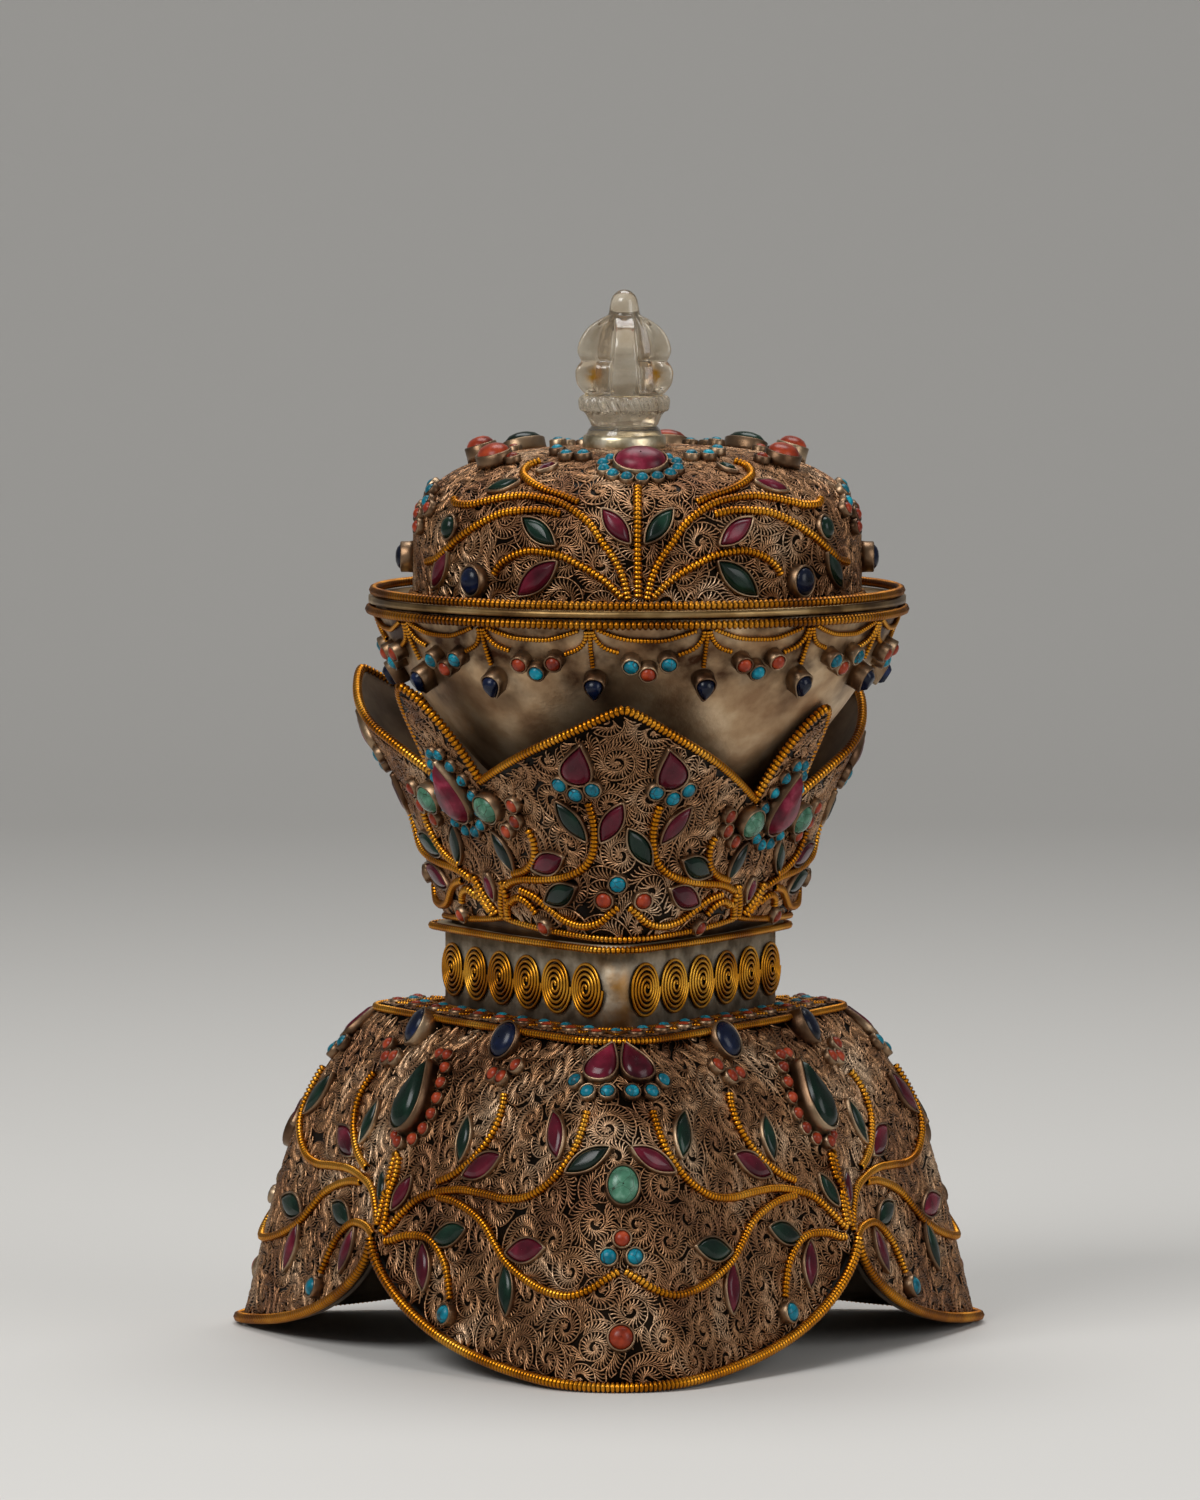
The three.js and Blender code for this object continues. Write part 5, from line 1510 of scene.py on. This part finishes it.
# The dark pucks behind the coils are painted shade between the turns.
piece("coil_shade_discs", "stand", SHADE_GROUND, coil_pucks)
foot_z = holder(edge_azimuth, np.zeros(FINE_AROUND))[:, 2] + FOOT_LIFT
edge("holder_foot_wire", "stand", inset(HOLDER_ROOT, -HOLDER_WIRE), foot_z, HOLDER_WIRE, axis=HOLDER_AXIS)

# %% [markdown]
# ## Crystal finial
# Half a vajra in rock crystal: four prongs curl in to a knob over a ribbed cup and a foot.

# %% Finial
crystal, tree, shader, place = new_material("rock crystal")
stain = add(tree, "ShaderNodeAttribute", attribute_name="tone").outputs["Fac"]
cloud = ramp(tree, stains(tree, place, 160.0), [(0.35, "#c9b79c"), (0.65, "#f0e6d2")])
streak = ramp(tree, stains(tree, place, 700.0), [(0.36, "#404040"), (0.52, "#ffffff")])
patch = add(tree, "ShaderNodeMath", [(0, stain), (1, streak)], operation="MULTIPLY").outputs[0]
tree.links.new(shader.inputs["Base Color"], mixed(tree, patch, cloud, linear("#c98a08")))
shader.inputs["Transmission Weight"].default_value = 0.88
shader.inputs["IOR"].default_value = 1.54
shader.inputs["Roughness"].default_value = 0.12
waves = stains(tree, place, 180.0, 2.0)
frost = add(tree, "ShaderNodeBump", [("Height", waves)], Strength=0.6, Distance=0.0005)
tree.links.new(shader.inputs["Normal"], frost.outputs["Normal"])

FINIAL_AXIS = centre("crystal_finial")
FINIAL_ROWS = [  # picture row, then reach of the prongs and of the round stem in mm
    (441, 10.1, 10.1), (434, 9.2, 9.2), (427.5, 8.4, 8.4), (425.5, 8.0, 8.0), (424, 8.3, 8.3),
    (412.5, 9.7, 9.7), (411, 10.3, 10.3), (409, 10.7, 10.7), (401, 10.9, 10.9), (396, 10.5, 10.5),
    (393.5, 9.9, 9.3), (390, 10.6, 8.2), (384, 11.6, 7.0), (376, 12.0, 7.0), (370, 11.9, 7.0),
    (365, 11.3, 7.0), (361.5, 10.6, 7.0), (358, 11.0, 7.0), (352, 11.5, 7.0), (345, 11.3, 7.0),
    (336, 10.4, 6.4), (328, 8.9, 5.4), (322, 7.0, 4.6), (317, 4.9, 4.0), (313, 3.9, 3.8),
    (306, 3.5, 3.5), (299, 3.1, 3.1), (294, 2.3, 2.3), (291, 1.2, 1.2), (290, 0.1, 0.1),
]
FACE_STEPS = 8
SIDE_STEPS = 16
FINIAL_STEPS = 180
PRONG_HALVES = [4.3, 4.2, 2.6]
PRONG_HEIGHTS = np.array([0.0, 12.0, 31.0])
EDGE_DEPTH, EDGE_WIDTH = 0.45, 0.06
HOLLOW, HOLLOW_SPREAD = 0.34, 0.22
BLEND = 1.2
GROOVE_ROW, GROOVE, GROOVE_SPREAD = 361.0, 0.75, 0.9
RIBS, RIB_DEPTH, RIB_SLANT, RIB_MEAN = 26, 1.0, 0.5, 0.6
CUP_ROW, CUP_HALF = 404, 2.0
SMOOTH_ROWS, SMOOTH_REACH = (355, 372), 11.8
STAIN_SPOT = np.array([7.6, 238.8])
STAIN_SIZE = np.array([1.7, 1.8])
STAIN_INSIDE, STAIN_STRENGTH = 1.4, 1.4
SOCKET_GAP = 1.2


def arm(prong, core, half, face, side):
    """A quarter of each ring: one arm of the cross where the prong stands out of the core, else an arc."""
    corner = prong - EDGE_DEPTH
    far = np.concatenate([prong - EDGE_DEPTH * face**6, corner + (half - corner) * side], 1)
    hollow = 1 - HOLLOW * np.exp(-(((side - 0.5) / HOLLOW_SPREAD) ** 2))
    wide = np.concatenate([half * (face - EDGE_WIDTH * face**6),
                           half * (1 - EDGE_WIDTH + EDGE_WIDTH * side**0.3) * hollow], 1)
    share = np.clip((prong - core) / BLEND, 0, 1)
    share = share * share * (3 - 2 * share)
    columns = np.linspace(0, TAU / 8, FACE_STEPS + SIDE_STEPS)[None]
    far = far * share + core * np.cos(columns) * (1 - share)
    wide = wide * share + core * np.sin(columns) * (1 - share)
    octant = np.stack([far, wide], -1)
    return np.concatenate([octant[:, :0:-1] * [1, -1], octant[:, :-1]], 1)


def finial_points():
    """The crystal as rings. A ring of the prongs is a cross of four flat arms with soft edges, a ring of the
    cup and the knob is a circle, and one turns into the other. Fine slanting ribs go round the cup."""
    rows, prongs, cores = np.array(FINIAL_ROWS).T
    heights = (TABLE_PIXEL - rows) * MM_PER_PIXEL / math.cos(ELEVATION)
    heights += high("crystal_finial")[2] - heights[-1]
    heights[0] = low("finial_socket")[2] + SOCKET_GAP
    groove_z, cup_z = np.interp([GROOVE_ROW, CUP_ROW], rows[::-1], heights[::-1])
    smoothed = np.where((rows > SMOOTH_ROWS[0]) & (rows < SMOOTH_ROWS[1]), SMOOTH_REACH, prongs)
    z, prong, core, plain = (smooth(values, FINIAL_STEPS)[:, None]
                             for values in (heights, prongs, cores, smoothed))
    half = np.interp(z, heights[0] + PRONG_HEIGHTS, PRONG_HALVES)
    groove = GROOVE * np.exp(-((z - groove_z) / GROOVE_SPREAD) ** 2)
    face, side = np.linspace(0, 1, FACE_STEPS)[None], np.linspace(0, 1, SIDE_STEPS + 1)[None, 1:]
    arms = [arm(prong, core, half - groove, face, side), arm(plain, core, half, face, side)]
    turns = [np.array([[math.cos(a), math.sin(a)], [-math.sin(a), math.cos(a)]])
             for a in (0, TAU / 4, TAU / 2, 3 * TAU / 4)]
    whole = np.concatenate([arms[index % 2] @ turn for index, turn in enumerate(turns)], 1)
    azimuth = np.arctan2(whole[..., 1], whole[..., 0])
    cup = np.exp(-((z - cup_z) / CUP_HALF) ** 4)
    rib = np.abs(np.cos(RIBS / 2 * azimuth + RIB_SLANT * z)) - RIB_MEAN
    ribs = 1 + RIB_DEPTH / np.maximum(core, 1) * cup * rib
    whole = np.maximum(np.abs(whole), FINE) * np.where(whole < 0, -1, 1) * ribs[..., None]
    points = np.concatenate([whole + FINIAL_AXIS, np.broadcast_to(z[..., None], (*whole.shape[:2], 1))], 2)
    foot = points[:1] * [0, 0, 1] + [*FINIAL_AXIS, 0]
    farther, nearer = np.abs(whole).max(-1), np.abs(whole).min(-1)
    spot = np.stack([farther, np.broadcast_to(z, farther.shape)], -1)
    tone = np.exp(-(((spot - STAIN_SPOT) / STAIN_SIZE) ** 2).sum(-1)) * (nearer > STAIN_INSIDE)
    tone = np.concatenate([np.zeros_like(tone[:1]), np.clip(tone * STAIN_STRENGTH, 0, 1)])
    return np.concatenate([foot, points]), tone


finial, finial_tone = finial_points()
finial_faces = outward(finial, grid_faces(*finial.shape[:2], False, True),
                       finial - finial.mean(1, keepdims=True))
piece("crystal_half_vajra", "lid", crystal, [(finial, finial_faces)], ["crystal_finial"],
      finial_tone.ravel())
SOCKET_LOW, SOCKET_HIGH = low("finial_socket")[2], high("finial_socket")[2]
socket_rows = [(9.2, SOCKET_LOW), (10.4, SOCKET_LOW + 0.6), (10.2, SOCKET_HIGH - 1.0), (9.9, SOCKET_HIGH - 0.2),
               (9.4, SOCKET_HIGH), (8.6, SOCKET_HIGH - 0.3), (8.6, SOCKET_LOW)]
plain_ring("socket_ring", "lid", SOCKET, socket_rows, ["finial_socket"], FINIAL_AXIS, SMALL_AROUND)

# %% Lid flange, lip and bowl seat
LIP_WALL = 1.3
LID_WIRE, LID_WIRE_OUT = 0.8, 0.7
LIP_REACH = (high("lid_lip")[0] - low("lid_lip")[0]) / 2
SEAT_INNER, SEAT_OUTER, SEAT_TOP = 8.0, 22.0, 15.5
FLANGE_SKIN, FLANGE_CLEAR = 0.1, 0.02
flange_edge, flange_top = FLANGE_REACH + FLANGE_SKIN, DOME_FOOT + FLANGE_SKIN
flange_rows = [(FLANGE_INNER, LID_BASE + FLANGE_CLEAR), (flange_edge, LID_BASE + FLANGE_CLEAR),
               (flange_edge, flange_top), (DOME_REACH - 0.5, flange_top)]
lip_rows = slab(LIP_REACH, LIP_REACH - LIP_WALL, low("lid_lip")[2], high("lid_lip")[2])
seat_low, seat_high = low("bowl_seat")[2], high("bowl_seat")[2]
seat_rows = [(SEAT_INNER, seat_low), (SEAT_OUTER, seat_low), (SEAT_TOP, seat_high), (SEAT_INNER, seat_high)]
plain_ring("lid_flange", "lid", TRIM, flange_rows, axis=BOWL_AXIS)
edge("lid_foot_wire", "lid", DOME_REACH + LID_WIRE_OUT, DOME_FOOT + LID_WIRE_OUT, LID_WIRE, axis=BOWL_AXIS)
plain_ring("lid_lip_ring", "lid", TRIM, lip_rows, ["lid_lip"], BOWL_AXIS)
plain_ring("seat_ring", "stand", SHEET, seat_rows, ["bowl_seat"], centre("bowl_seat"), SMALL_AROUND)
for node in named("socket_nut"):
    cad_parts[node].data.materials.clear()
    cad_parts[node].data.materials.append(SHEET)

# %% Vines and settings become pieces
for surface, shapes in vines.items():
    piece(f"{surface}_vines", SURFACES[surface][2], GILT, shapes,
          ["bowl_fringe"] if surface == "bowl" else (), bead_groove_shade(shapes))


def large(part, kind, *sides):
    """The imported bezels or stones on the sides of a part."""
    return named(*(f"{part}_{side}_{kind}" for side in sides))


THREE = ("right", "back", "left")
LARGE_BEZELS = {"skirt": large("skirt", "bezel", *THREE), "holder": large("holder", "bezel", *THREE),
                "dome": large("lid", "bezel", "right", "front", "left")}
LARGE_STONES = {("skirt", "green"): large("skirt", "stone", *THREE),
                ("holder", "raspberry"): large("holder", "stone", *THREE),
                ("dome", "raspberry"): large("lid", "stone", "front"),
                ("dome", "green"): large("lid", "stone", "right", "left")}
for surface, shapes in bezels.items():
    piece(f"{surface}_bezels", SURFACES[surface][2], SETTING, shapes,
          LARGE_BEZELS.get(surface, ()))
for (surface, colour), shapes in jewels.items():
    piece(f"{surface}_{colour}_stones", SURFACES[surface][2], STONES[colour], shapes,
          LARGE_STONES.get((surface, colour), ()))
